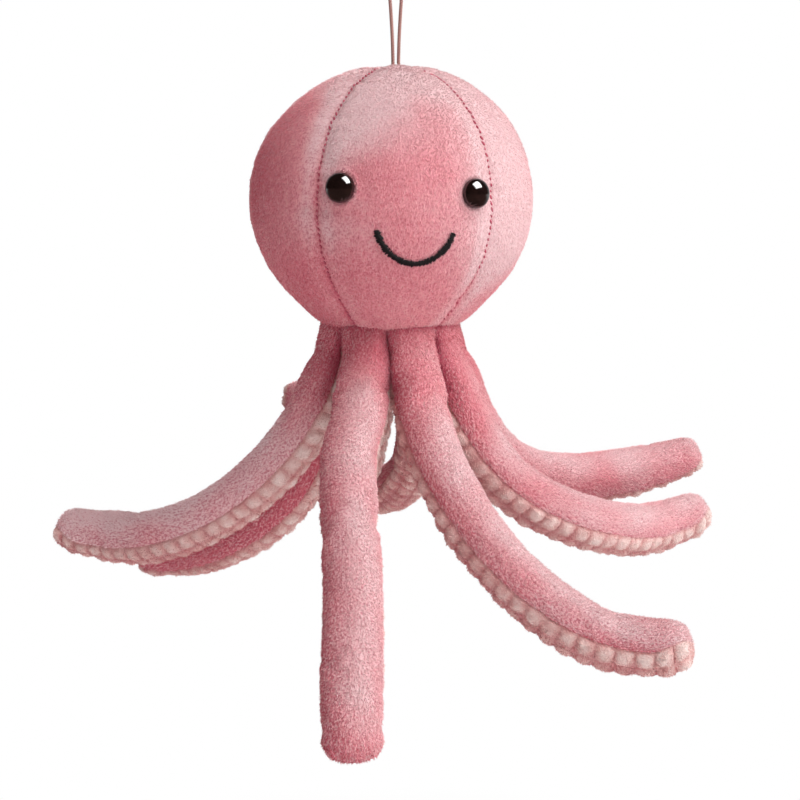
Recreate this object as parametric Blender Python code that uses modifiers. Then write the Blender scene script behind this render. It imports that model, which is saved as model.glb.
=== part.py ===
# Plush octopus on a hanging loop. Metres, +Z up, the face towards -Y.
# The origin is the top of the hanging loop, inside its bend, where a hook carries the toy.
# The loop's course is given in shares of its height, across and up.
import math

import bmesh
import bpy
from mathutils import Matrix, Vector

MM = 0.001
MERGE_DISTANCE = 0.003 * MM
SMOOTH_ANGLE = math.radians(40)
TURN_STEPS = 16

# Cloth and the room left between touching pieces
FABRIC_THICKNESS = 2.0 * MM
GAP = 0.3 * MM
SEAM_GAP = 0.4 * MM

# Head: a slightly flattened ball, open at the top for the loop and at the neck for the arms
HEAD_RADIUS = 59.5 * MM
HEAD_HALF_HEIGHT = 56.5 * MM
CROWN_LEAN = 2.3 * MM
NECK_RADIUS = 30.0 * MM
TOP_HOLE_RADIUS = 2.6 * MM
HEAD_ROWS = 13
FILLING_SIDES = 24
DISC_SIDES = 32
FACE_TURN = math.radians(7.5)
FACE_PANEL_ANGLE = math.radians(74)
SIDE_PANEL_COUNT = 2
PANEL_STEP_ANGLE = math.radians(10)

# Safety eyes, each pushed through the front panel and held by a washer behind it
EYE_RADIUS = 6.0 * MM
EYE_HEIGHT = 5.4 * MM
EYE_EDGE = 0.9 * MM
EYE_DOME_STEPS = 5
EYE_SHANK_RADIUS = 2.1 * MM
EYE_SHANK_LENGTH = 13.0 * MM
EYE_SHANK_TAPER = 0.8 * MM
EYE_SEAT = 0.4 * MM
WASHER_RADIUS = 7.0 * MM
WASHER_THICKNESS = 1.4 * MM
WASHER_SEAT = 1.2 * MM
EYE_HEIGHT_ON_HEAD = 5.4 * MM
EYE_SPREAD = math.radians(26.6)
FACE_ROLL = math.radians(2.5)

# Smile: a satin-stitched arc of a circle, laid on the front panel
SMILE_RADIUS = 15.8 * MM
SMILE_CENTRE_BELOW = 6.9 * MM
SMILE_HALF_ANGLE = math.radians(77)
SMILE_TURN = math.radians(10)
SMILE_HALF_WIDTH = 1.25 * MM
SMILE_HALF_HEIGHT = 0.5 * MM
SMILE_POINTS = 15
SMILE_SIDES = 8

# Hanging loop: one doubled cord, knotted inside the top of the head
LOOP_CORD_RADIUS = 0.8 * MM
LOOP_CLEARANCE = 0.6 * MM
LOOP_STEP = 2.8 * MM
LOOP_ROUND_STEPS = 2
ROUTE_FINE_STEPS = 24
LOOP_HEIGHT = 50.0 * MM
LOOP_ROUTE_SHARES = [
    (-0.024, -1.000), (-0.024, -0.940), (-0.028, -0.800), (-0.036, -0.640), (-0.048, -0.460),
    (-0.064, -0.280), (-0.080, -0.150), (-0.084, -0.080), (-0.068, -0.024), (-0.036, 0.008),
    (0.000, 0.016), (0.036, 0.008), (0.068, -0.024), (0.084, -0.080), (0.080, -0.150),
    (0.064, -0.280), (0.048, -0.460), (0.036, -0.640), (0.028, -0.800), (0.024, -0.940),
    (0.024, -1.000),
]
KNOT_RADIUS = 4.5 * MM
KNOT_HEIGHT = 7.0 * MM
KNOT_NECK_RADIUS = 2.1 * MM
KNOT_NECK_LENGTH = 5.0 * MM
KNOT_ROWS = 6

# Arms: eight equal stuffed tubes, sewn flat into the neck and round further down
ARM_LENGTH = 196.0 * MM
ARM_RADIUS = 10.7 * MM
ARM_TIP_RADIUS = 11.1 * MM
ARM_ROOT_HALF_THICKNESS = 5.5 * MM
ARM_ROOT_SIDE_GAP = 0.55 * MM
ARM_ROOT_BLEND = 30.0 * MM
ARM_ROOT_SLOPE = math.radians(6)
ARM_TIP_ROUND = 10.0 * MM
ARM_TIP_RING = 1.7 * MM
ARM_JOINT_SHARE = 0.5
ARM_RING_STEP = 13.5 * MM
ARM_CURVE_STEP = 2.0 * MM
ARM_BEND_LIMIT = math.radians(30)
JOINT_CLEARANCE = 0.5 * MM
CUP_ROWS = 4
BALL_ROWS = 4
STRIP_HALF_ANGLE = math.radians(82)
STRIP_EDGE_ANGLE = math.radians(2.8)
STRIP_WALL_ANGLE = math.radians(1)
STRIP_TIP_ROOM = 5.0 * MM
PLUSH_SEGMENTS = 8
STRIP_SEGMENTS = 6

# How each arm is posed: its place round the neck and its roll in degrees, 0 at the face and
# growing to the viewer's right, then at five even stations from root to tip how far it leans out
# from straight down, and how far it has swung sideways.
ARM_POSES = {
    "arm_left": (-70, 10, (7, 33, 56, 79, 102), (0, -25, -40, -50, -30)),
    "arm_front_left": (-25, 0, (15, 50, 45, 45, 45), (0, 21, 30, 25, 30)),
    "arm_front_right": (20, 10, (15, 35, 45, 66, 102), (0, 10, 35, 50, 57)),
    "arm_right": (65, -5, (6, 29, 62, 81, 110), (0, 25, 45, 65, 45)),
    "arm_back_right": (110, -45, (8, 32, 74, 92, 107), (0, 10, 16, 11, -15)),
    "arm_rear_right": (155, 0, (10, 31, 57, 84, 110), (0, 23, 43, 42, 40)),
    "arm_rear_left": (-160, 0, (5, 20, 68, 121, 149), (0, 3, -2, -2, 11)),
    "arm_back_left": (-115, 20, (10, 15, 50, 70, 80), (0, 5, -5, -20, 0)),
}

# Worked out from the sizes above: the arms share the neck's ring evenly
ARM_ROOT_RING = NECK_RADIUS - ARM_ROOT_HALF_THICKNESS
ARM_ROOT_HALF_WIDTH = ARM_ROOT_RING * math.tan(math.pi / len(ARM_POSES)) - ARM_ROOT_SIDE_GAP
HEAD_TOP = -LOOP_HEIGHT
HEAD_CENTRE = Vector((-CROWN_LEAN, 0, HEAD_TOP - HEAD_HALF_HEIGHT))
UP = Vector((0, 0, 1))


def material(name, colour, roughness, metallic=0.0):
    """A plain Principled material with the part's own colour."""
    made = bpy.data.materials.get(name)
    if made is None:
        made = bpy.data.materials.new(name)
        made.use_nodes = True
        shader = made.node_tree.nodes["Principled BSDF"]
        shader.inputs["Base Color"].default_value = (*colour, 1.0)
        shader.inputs["Roughness"].default_value = roughness
        shader.inputs["Metallic"].default_value = metallic
    return made


def plush():
    return material("pink_plush", (0.82, 0.31, 0.36), 0.95)


def bubble_fabric():
    return material("bubble_fabric", (0.86, 0.72, 0.67), 0.9)


def stuffing():
    return material("polyester_stuffing", (0.85, 0.85, 0.83), 1.0)


def eye_plastic():
    return material("dark_eye_plastic", (0.02, 0.012, 0.01), 0.12)


def washer_plastic():
    return material("washer_plastic", (0.75, 0.75, 0.72), 0.5)


def thread():
    return material("dark_thread", (0.02, 0.015, 0.015), 0.7)


def cord():
    return material("brown_pink_cord", (0.5, 0.3, 0.28), 0.8)


def clear_scene():
    for old in list(bpy.data.objects):
        bpy.data.objects.remove(old, do_unlink=True)


def new_collection(name):
    made = bpy.data.collections.new(name)
    bpy.context.scene.collection.children.link(made)
    return made


def add_object(name, data, collection, finish):
    made = bpy.data.objects.new(name, data)
    collection.objects.link(made)
    made.data.materials.append(finish)
    return made


def add_joint_empty(name, place, collection, parent=None):
    """An empty on a joint's axis, which carries the pieces that move there."""
    made = bpy.data.objects.new(name, None)
    made.empty_display_size = ARM_RADIUS
    collection.objects.link(made)
    made.location = place
    bpy.context.view_layer.update()
    if parent is not None:
        made.parent = parent
        made.matrix_parent_inverse = parent.matrix_world.inverted()
    return made


def hang_on(piece, empty):
    """Parents a piece to the empty without moving it."""
    bpy.context.view_layer.update()
    piece.parent = empty
    piece.matrix_parent_inverse = empty.matrix_world.inverted()


def smooth(mesh):
    mesh.shade_smooth()
    mesh.set_sharp_from_angle(angle=SMOOTH_ANGLE)


def loft(name, rings, turned_back=0):
    """A skin through rings of points that all have the same count, capped at both ends.

    Each four-sided gap is split along the same diagonal, so that two skins that lie close together
    stay apart. The last points of a ring that runs back on its inner side are given by turned_back.
    """
    made = bmesh.new()
    rows = [[made.verts.new(point) for point in ring] for ring in rings]
    count = len(rings[0])
    for lower, upper in zip(rows, rows[1:]):
        for i in range(count):
            j = (i + 1) % count
            if i >= count - turned_back:
                made.faces.new((lower[i], lower[j], upper[i]))
                made.faces.new((lower[j], upper[j], upper[i]))
            else:
                made.faces.new((lower[i], lower[j], upper[j]))
                made.faces.new((lower[i], upper[j], upper[i]))
    made.faces.new(list(reversed(rows[0])))
    made.faces.new(rows[-1])
    bmesh.ops.recalc_face_normals(made, faces=made.faces)
    mesh = bpy.data.meshes.new(name)
    made.to_mesh(mesh)
    made.free()
    smooth(mesh)
    return mesh


def turned(name, profile, collection, finish, closed=False):
    """A profile of (radius, height) points turned round its own Z axis with a Screw modifier."""
    mesh = bpy.data.meshes.new(name)
    edges = [(i, i + 1) for i in range(len(profile) - 1)]
    if closed:
        edges.append((len(profile) - 1, 0))
    mesh.from_pydata([(radius, 0, height) for radius, height in profile], edges, [])
    made = add_object(name, mesh, collection, finish)
    screw = made.modifiers.new("turn", "SCREW")
    screw.steps = TURN_STEPS
    screw.render_steps = TURN_STEPS
    screw.use_merge_vertices = True
    screw.merge_threshold = MERGE_DISTANCE
    screw.use_smooth_shade = True
    return made


def cut(piece, cutter):
    """Cuts one solid from another and hides the cutter."""
    cutter.hide_render = True
    cutter.display_type = "WIRE"
    made = piece.modifiers.new("cut_" + cutter.name, "BOOLEAN")
    made.operation = "DIFFERENCE"
    made.solver = "EXACT"
    made.object = cutter


def between(values, first, t):
    """A value after values[first], on the smooth curve that runs through all of them."""
    a = values[max(first - 1, 0)]
    b = values[first]
    c = values[first + 1]
    d = values[min(first + 2, len(values) - 1)]
    return b + 0.5 * t * (c - a + t * (2 * a - 5 * b + 4 * c - d + t * (3 * (b - c) + d - a)))


def smooth_course(values, share):
    """A value at a share of the way along even stations, eased through them without a kink."""
    place = min(max(share, 0.0), 1.0) * (len(values) - 1)
    first = min(int(place), len(values) - 2)
    return between(values, first, place - first)


def ease(share):
    share = min(max(share, 0.0), 1.0)
    return share * share * (3 - 2 * share)


# The head

def head_point(turn, height, inset=0.0):
    """The point of the head's ball at an angle round it and a height over its centre."""
    half_height = HEAD_HALF_HEIGHT - inset
    radius = (HEAD_RADIUS - inset) * math.sqrt(max(0.0, 1 - (height / half_height) ** 2))
    lean = CROWN_LEAN * (max(height, 0.0) / half_height) ** 2
    return HEAD_CENTRE + Vector((radius * math.sin(turn) + lean, -radius * math.cos(turn), height))


def head_normal(point):
    off = point - HEAD_CENTRE
    return Vector((off.x / HEAD_RADIUS ** 2, off.y / HEAD_RADIUS ** 2,
                   off.z / HEAD_HALF_HEIGHT ** 2)).normalized()


def height_at_radius(radius, inset=0.0):
    """How far over or under the centre the head's ball has this radius."""
    share = radius / (HEAD_RADIUS - inset)
    return (HEAD_HALF_HEIGHT - inset) * math.sqrt(1 - share * share)


NECK_Z = HEAD_CENTRE.z - height_at_radius(NECK_RADIUS)


def head_panel(name, middle, half_angle, collection, finish):
    """One gore: a patch of the ball between two seams, given its thickness by Solidify."""
    columns = max(2, round(2 * half_angle / PANEL_STEP_ANGLE))
    top_tilt = math.acos(TOP_HOLE_RADIUS / HEAD_RADIUS)
    low_tilt = -math.acos(NECK_RADIUS / HEAD_RADIUS)
    made = bmesh.new()
    rows = []
    for row in range(HEAD_ROWS + 1):
        tilt = top_tilt + (low_tilt - top_tilt) * row / HEAD_ROWS
        radius = HEAD_RADIUS * math.cos(tilt)
        height = HEAD_HALF_HEIGHT * math.sin(tilt)
        reach = half_angle - math.asin(SEAM_GAP / 2 / radius)
        turns = [middle + reach * (2 * i / columns - 1) for i in range(columns + 1)]
        rows.append([made.verts.new(head_point(turn, height)) for turn in turns])
    for upper, lower in zip(rows, rows[1:]):
        for i in range(columns):
            made.faces.new((upper[i], lower[i], lower[i + 1], upper[i + 1]))
    mesh = bpy.data.meshes.new(name)
    made.to_mesh(mesh)
    made.free()
    piece = add_object(name, mesh, collection, finish)
    wall = piece.modifiers.new("cloth", "SOLIDIFY")
    wall.thickness = FABRIC_THICKNESS
    wall.offset = -1.0
    smooth(mesh)
    return piece


def head_panels(collection):
    """Front and back gores and two narrower ones on each side, named by where they are."""
    half_face = FACE_PANEL_ANGLE / 2
    side_angle = (math.pi - FACE_PANEL_ANGLE) / SIDE_PANEL_COUNT
    panels = {
        "head_front_panel": head_panel("head_front_panel", FACE_TURN, half_face, collection, plush()),
        "head_back_panel": head_panel("head_back_panel", FACE_TURN + math.pi, half_face,
                                      collection, plush()),
    }
    for side, sign in (("left", -1), ("right", 1)):
        for order, place in enumerate(("front", "back")):
            name = f"head_{place}_{side}_panel"
            middle = FACE_TURN + sign * (half_face + side_angle * (order + 0.5))
            panels[name] = head_panel(name, middle, side_angle / 2, collection, plush())
    return panels


def head_filling(collection):
    """The stuffing that fills the ball inside the cloth, flat at the neck."""
    inset = FABRIC_THICKNESS + 2 * GAP
    top = HEAD_HALF_HEIGHT - inset
    high_tilt = math.acos(KNOT_RADIUS / HEAD_RADIUS)
    low_tilt = math.asin((NECK_Z - HEAD_CENTRE.z) / top)
    rings = []
    for row in range(HEAD_ROWS + 1):
        tilt = high_tilt + (low_tilt - high_tilt) * row / HEAD_ROWS
        turns = [2 * math.pi * i / FILLING_SIDES for i in range(FILLING_SIDES)]
        rings.append([head_point(turn, top * math.sin(tilt), inset) for turn in turns])
    return add_object("head_filling", loft("head_filling", rings), collection, stuffing())


def base_disc(collection):
    """The round of cloth that closes the head between the arms' roots."""
    bpy.ops.mesh.primitive_cylinder_add(vertices=DISC_SIDES, radius=NECK_RADIUS,
                                        depth=FABRIC_THICKNESS)
    piece = bpy.context.object
    piece.name = "base_disc"
    piece.location = (HEAD_CENTRE.x, HEAD_CENTRE.y, NECK_Z - GAP - FABRIC_THICKNESS / 2)
    for owner in list(piece.users_collection):
        owner.objects.unlink(piece)
    collection.objects.link(piece)
    piece.data.materials.append(plush())
    smooth(piece.data)
    return piece


def face_place(turn_off, height):
    """A point of the face after the whole face is rolled a little about its middle."""
    across = HEAD_RADIUS * turn_off
    rolled_across = across * math.cos(FACE_ROLL) + height * math.sin(FACE_ROLL)
    rolled_height = height * math.cos(FACE_ROLL) - across * math.sin(FACE_ROLL)
    return head_point(FACE_TURN + rolled_across / HEAD_RADIUS, rolled_height)


def stand_on_head(piece, point):
    """Turns a piece so that its own Z leaves the head squarely at this point."""
    turn = head_normal(point).to_track_quat("Z", "Y")
    piece.matrix_world = Matrix.Translation(point) @ turn.to_matrix().to_4x4()


def eye(side, sign, panel, filling, parts, cutters):
    """A domed eye with its shank, the washer behind the cloth, and the room both need."""
    seat = face_place(sign * EYE_SPREAD, EYE_HEIGHT_ON_HEAD)
    dome = [(0.0, EYE_SEAT + EYE_HEIGHT)]
    for step in range(1, EYE_DOME_STEPS + 1):
        tilt = math.pi / 2 * (1 - step / EYE_DOME_STEPS)
        rise = (EYE_HEIGHT - EYE_EDGE) * math.sin(tilt)
        dome.append((EYE_RADIUS * math.cos(tilt), EYE_SEAT + EYE_EDGE + rise))
    tip = EYE_SEAT - EYE_SHANK_LENGTH
    dome += [
        (EYE_RADIUS, EYE_SEAT), (EYE_SHANK_RADIUS, EYE_SEAT),
        (EYE_SHANK_RADIUS, tip + EYE_SHANK_TAPER), (EYE_SHANK_RADIUS - EYE_SHANK_TAPER, tip),
        (0.0, tip),
    ]
    button = turned(f"eye_{side}", dome, parts, eye_plastic())
    stand_on_head(button, seat)

    washer_top = -FABRIC_THICKNESS - WASHER_SEAT
    bore = EYE_SHANK_RADIUS + GAP
    ring = [(bore, washer_top), (WASHER_RADIUS, washer_top),
            (WASHER_RADIUS, washer_top - WASHER_THICKNESS), (bore, washer_top - WASHER_THICKNESS)]
    washer = turned(f"eye_washer_{side}", ring, parts, washer_plastic(), closed=True)
    stand_on_head(washer, seat)

    hole = [(0.0, EYE_HEIGHT), (bore, EYE_HEIGHT), (bore, tip - GAP), (0.0, tip - GAP)]
    hole_cutter = turned(f"cut_eye_hole_{side}", hole, cutters, eye_plastic())
    stand_on_head(hole_cutter, seat)
    cut(panel, hole_cutter)

    pocket_floor = washer_top - WASHER_THICKNESS - GAP
    room = [(0.0, EYE_HEIGHT), (WASHER_RADIUS + GAP, EYE_HEIGHT), (WASHER_RADIUS + GAP, pocket_floor),
            (bore, pocket_floor), (bore, tip - GAP), (0.0, tip - GAP)]
    pocket_cutter = turned(f"cut_eye_pocket_{side}", room, cutters, eye_plastic())
    stand_on_head(pocket_cutter, seat)
    cut(filling, pocket_cutter)
    return [button, washer]


def mouth_stitching(collection):
    """The satin-stitched smile: a low oval bead that follows an arc laid on the head."""
    rings = []
    lift = GAP + SMILE_HALF_HEIGHT
    for i in range(SMILE_POINTS + 1):
        sweep = SMILE_HALF_ANGLE * (2 * i / SMILE_POINTS - 1)
        across = SMILE_RADIUS * math.sin(sweep)
        height = -SMILE_CENTRE_BELOW - SMILE_RADIUS * math.cos(sweep)
        rise = height - across * math.sin(FACE_ROLL)
        point = head_point(SMILE_TURN + across / HEAD_RADIUS, rise)
        out = head_normal(point)
        along = Vector((math.cos(SMILE_TURN) * math.cos(sweep), math.sin(SMILE_TURN) * math.cos(sweep),
                        math.sin(sweep)))
        side = out.cross(along).normalized()
        centre = point + out * lift
        ring = []
        for k in range(SMILE_SIDES):
            around = 2 * math.pi * k / SMILE_SIDES
            ring.append(centre + side * SMILE_HALF_WIDTH * math.cos(around)
                        + out * SMILE_HALF_HEIGHT * math.sin(around))
        rings.append(ring)
    return add_object("mouth_stitching", loft("mouth_stitching", rings), collection, thread())


# The hanging loop

def smooth_route(points, step):
    """Points at even steps along the smooth curve through the route's own points."""
    fine = []
    for first in range(len(points) - 1):
        for k in range(ROUTE_FINE_STEPS):
            fine.append(between(points, first, k / ROUTE_FINE_STEPS))
    fine.append(points[-1])
    lengths = [0.0]
    for a, b in zip(fine, fine[1:]):
        lengths.append(lengths[-1] + (b - a).length)
    count = max(2, round(lengths[-1] / step))
    picked = []
    at = 0
    for k in range(count + 1):
        want = lengths[-1] * k / count
        while at < len(fine) - 2 and lengths[at + 1] < want:
            at += 1
        part = (want - lengths[at]) / (lengths[at + 1] - lengths[at])
        picked.append(fine[at].lerp(fine[at + 1], min(part, 1.0)))
    return picked


def hanging_loop(collection):
    """The doubled cord, up from the head, round over the hook and down again."""
    curve = bpy.data.curves.new("hanging_loop", "CURVE")
    curve.dimensions = "3D"
    curve.bevel_depth = LOOP_CORD_RADIUS
    curve.bevel_resolution = LOOP_ROUND_STEPS
    curve.use_fill_caps = True
    corners = [Vector((x, 0, z)) * LOOP_HEIGHT for x, z in LOOP_ROUTE_SHARES]
    route = smooth_route(corners, LOOP_STEP)
    line = curve.splines.new("POLY")
    line.points.add(len(route) - 1)
    for point, place in zip(line.points, route):
        point.co = (*place, 1.0)
    return add_object("hanging_loop", curve, collection, cord())


def loop_knot(filling, parts, cutters):
    """The knot that keeps the loop in the head, with a neck up to the hole in the cloth."""
    neck_top = -LOOP_CLEARANCE
    middle = neck_top - KNOT_NECK_LENGTH - KNOT_HEIGHT / 2

    def outline(room):
        points = [(0.0, neck_top + room), (KNOT_NECK_RADIUS + room, neck_top + room)]
        start = math.asin((KNOT_NECK_RADIUS + room) / (KNOT_RADIUS + room))
        for row in range(KNOT_ROWS + 1):
            tilt = start + (math.pi - start) * row / KNOT_ROWS
            radius = (KNOT_RADIUS + room) * math.sin(tilt)
            points.append((max(radius, 0.0), middle + (KNOT_HEIGHT / 2 + room) * math.cos(tilt)))
        points[-1] = (0.0, points[-1][1])
        return points

    place = Vector((0, 0, HEAD_TOP))
    knot = turned("loop_knot", outline(0.0), parts, cord())
    knot.location = place
    room = turned("cut_knot_room", [(0.0, KNOT_HEIGHT), (KNOT_NECK_RADIUS + GAP, KNOT_HEIGHT)]
                  + outline(GAP)[2:], cutters, cord())
    room.location = place
    cut(filling, room)
    return knot


# The arms

class Arm:
    """One arm's course from the neck to its tip, and its cross-sections."""

    def __init__(self, name, turn, roll, leans, swings):
        self.name = name
        self.turn = math.radians(turn)
        self.roll = math.radians(roll)
        self.leans = [math.radians(lean) for lean in leans]
        self.swings = [math.radians(swing) for swing in swings]
        self.out = Vector((math.sin(self.turn), -math.cos(self.turn), 0))
        self.top = NECK_Z - 2 * GAP - FABRIC_THICKNESS
        neck = Vector((HEAD_CENTRE.x, HEAD_CENTRE.y, self.top))
        self.hinge = neck + self.out * NECK_RADIUS
        drop = ARM_ROOT_HALF_THICKNESS * math.tan(ARM_ROOT_SLOPE)
        start = neck + self.out * ARM_ROOT_RING - UP * drop
        self.course = [start]
        self.steps = round(ARM_LENGTH / ARM_CURVE_STEP)
        step = ARM_LENGTH / self.steps
        for i in range(self.steps):
            self.course.append(self.course[-1] + self.heading((i + 0.5) * step) * step)
        self.joint_at = ARM_LENGTH * ARM_JOINT_SHARE
        self.joint = self.centre(self.joint_at)

    def angles(self, along):
        share = along / ARM_LENGTH
        lean = smooth_course(self.leans, share)
        return lean, self.turn + smooth_course(self.swings, share)

    def heading(self, along):
        lean, turn = self.angles(along)
        out = Vector((math.sin(turn), -math.cos(turn), 0))
        return out * math.sin(lean) - UP * math.cos(lean)

    def centre(self, along):
        place = along / ARM_LENGTH * self.steps
        first = min(int(place), self.steps - 1)
        return self.course[first].lerp(self.course[first + 1], place - first)

    def frame(self, along):
        """The directions towards the plush side and to the arm's side, with its roll."""
        lean, turn = self.angles(along)
        out = Vector((math.sin(turn), -math.cos(turn), 0))
        back = out * math.cos(lean) + UP * math.sin(lean)
        side = Vector((math.cos(turn), math.sin(turn), 0))
        roll = self.roll * ease(along / (2 * ARM_ROOT_BLEND))
        top = back * math.cos(roll) + side * math.sin(roll)
        return top, side * math.cos(roll) - back * math.sin(roll)

    def half_sizes(self, along):
        """Half the thickness and half the width of the round, swelling and tapering tube."""
        full = ARM_RADIUS + (ARM_TIP_RADIUS - ARM_RADIUS) * ease(along / ARM_LENGTH)
        blend = ease(along / ARM_ROOT_BLEND)
        thick = ARM_ROOT_HALF_THICKNESS + (full - ARM_ROOT_HALF_THICKNESS) * blend
        wide = ARM_ROOT_HALF_WIDTH + (full - ARM_ROOT_HALF_WIDTH) * blend
        left = (ARM_LENGTH - along) / ARM_TIP_ROUND
        if left < 1:
            close = math.sqrt(max(0.0, 1 - (1 - left) ** 2))
            thick *= close
            wide *= close
        return thick, wide

    def section_point(self, along, around, inset=0.0):
        back, side = self.frame(along)
        thick, wide = self.half_sizes(along)
        point = self.centre(along) + back * ((thick - inset) * math.cos(around))
        return point + side * ((wide - inset) * math.sin(around))

    def plush_angles(self):
        """Angles of the plush arc, then of the strip's recess, once round the tube."""
        edge = math.pi - STRIP_HALF_ANGLE
        plush_part = [-edge + 2 * edge * i / PLUSH_SEGMENTS for i in range(PLUSH_SEGMENTS + 1)]
        low = edge + STRIP_WALL_ANGLE
        sweep = 2 * (math.pi - low)
        recess = [low + sweep * i / STRIP_SEGMENTS for i in range(STRIP_SEGMENTS + 1)]
        return plush_part, recess

    def tube_ring(self, along, recessed):
        plush_part, recess = self.plush_angles()
        depth = FABRIC_THICKNESS + GAP if recessed else 0.0
        ring = [self.section_point(along, around) for around in plush_part]
        return ring + [self.section_point(along, around, depth) for around in recess]

    def strip_ring(self, along):
        low = math.pi - STRIP_HALF_ANGLE + STRIP_EDGE_ANGLE
        sweep = 2 * (math.pi - low)
        angles = [low + sweep * i / STRIP_SEGMENTS for i in range(STRIP_SEGMENTS + 1)]
        outer = [self.section_point(along, around) for around in angles]
        inner = [self.section_point(along, around, FABRIC_THICKNESS) for around in reversed(angles)]
        return outer + inner

    def slide_to_root(self, ring):
        """Slides a ring along the arm onto the sloped plane under the neck, through the hinge."""
        heading = self.heading(0.0)
        normal = (UP - self.out * math.tan(ARM_ROOT_SLOPE)).normalized()
        slid = []
        for point in ring:
            travel = (self.hinge - point).dot(normal) / heading.dot(normal)
            slid.append(point + heading * travel)
        return slid

    def stations(self, start, end):
        count = max(1, round((end - start) / ARM_RING_STEP))
        return [start + (end - start) * i / count for i in range(count + 1)]

    def upper_stations(self):
        """Rings that the upper tube's recess and its strip share."""
        return self.stations(0.0, self.joint_at - self.cup_depth() - FABRIC_THICKNESS)

    def lower_stations(self):
        """Rings that the lower tube's recess and its strip share."""
        even = self.stations(self.joint_at + GAP, ARM_LENGTH - ARM_TIP_ROUND)
        return even + [ARM_LENGTH - STRIP_TIP_ROOM]

    def ball_ring(self, radius, tilt):
        """A ring of the round joint's ball, measured from the pole that faces the neck."""
        back, side = self.frame(self.joint_at)
        plush_part, recess = self.plush_angles()
        centre = self.joint - self.heading(self.joint_at) * (radius * math.cos(tilt))
        reach = radius * math.sin(tilt)
        return [centre + back * (reach * math.cos(a)) + side * (reach * math.sin(a))
                for a in plush_part + recess]

    def cup_depth(self):
        radius = self.half_sizes(self.joint_at)[0]
        return radius * math.sin(ARM_BEND_LIMIT) + JOINT_CLEARANCE

    def upper_tube(self):
        radius = self.half_sizes(self.joint_at)[0] + JOINT_CLEARANCE
        depth = self.cup_depth()
        rim = self.joint_at - depth
        stations = self.upper_stations()
        rings = [self.slide_to_root(self.tube_ring(0.0, True))]
        rings += [self.tube_ring(along, True) for along in stations[1:]]
        rings += [self.tube_ring(stations[-1] + GAP, False), self.tube_ring(rim, False)]
        rim_tilt = math.acos(depth / radius)
        for row in range(CUP_ROWS):
            rings.append(self.ball_ring(radius, rim_tilt * (1 - row / CUP_ROWS)))
        return loft(self.name + "_upper", rings)

    def upper_strip(self):
        stations = self.upper_stations()
        stations[-1] -= GAP
        rings = [self.slide_to_root(self.strip_ring(0.0))]
        rings += [self.strip_ring(along) for along in stations[1:]]
        return loft(self.name + "_upper_strip", rings, turned_back=STRIP_SEGMENTS + 1)

    def lower_tube(self):
        radius = self.half_sizes(self.joint_at)[0]
        rings = [self.ball_ring(radius, math.pi / 2 * row / BALL_ROWS)
                 for row in range(1, BALL_ROWS)]
        rings.append(self.tube_ring(self.joint_at, False))
        stations = self.lower_stations()
        rings += [self.tube_ring(along, True) for along in stations]
        rings.append(self.tube_ring(stations[-1] + GAP, False))
        rings.append(self.tube_ring(ARM_LENGTH - ARM_TIP_RING, False))
        rings.append(self.tube_ring(ARM_LENGTH - GAP, False))
        return loft(self.name + "_lower", rings)

    def lower_strip(self):
        stations = self.lower_stations()
        stations[0] += GAP
        stations[-1] -= GAP
        rings = [self.strip_ring(along) for along in stations]
        return loft(self.name + "_lower_strip", rings, turned_back=STRIP_SEGMENTS + 1)


def build_arm(arm, head, parts):
    """Upper half on the neck's hinge, lower half on the bend in the middle of the arm."""
    root = add_joint_empty(arm.name + "_root", arm.hinge, parts, head)
    bend = add_joint_empty(arm.name + "_bend", arm.joint, parts, root)
    for mesh, finish, empty in (
        (arm.upper_tube(), plush(), root), (arm.upper_strip(), bubble_fabric(), root),
        (arm.lower_tube(), plush(), bend), (arm.lower_strip(), bubble_fabric(), bend),
    ):
        hang_on(add_object(mesh.name, mesh, parts, finish), empty)


def main():
    clear_scene()
    parts = new_collection("plush_octopus")
    cutters = new_collection("cutters")
    head = add_joint_empty("head_swing", Vector((0, 0, HEAD_TOP)), parts)
    panels = head_panels(parts)
    filling = head_filling(parts)
    pieces = list(panels.values()) + [filling, base_disc(parts), mouth_stitching(parts)]
    for side, sign in (("left", -1), ("right", 1)):
        pieces += eye(side, sign, panels["head_front_panel"], filling, parts, cutters)
    pieces.append(loop_knot(filling, parts, cutters))
    for piece in pieces:
        hang_on(piece, head)
    hanging_loop(parts)
    for name, (turn, roll, leans, swings) in ARM_POSES.items():
        build_arm(Arm(name, turn, roll, leans, swings), head, parts)


main()
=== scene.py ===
# %% [markdown]
# # A plush octopus on a hanging loop
#
# The toy is a stuffed ball of short-pile plush with eight stuffed arms, two glossy eyes, an
# embroidered smile and a thin cord to hang it by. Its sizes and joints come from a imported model
# that is loaded here as a fixed frame. This lesson dresses that frame: each piece is made again
# as the fabric, thread or plastic that it really is, in the same place and size, in metres.

# %% Load the fixed frame
import math

import bmesh
import bpy
import numpy as np
from mathutils import Matrix, Vector, noise


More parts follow.
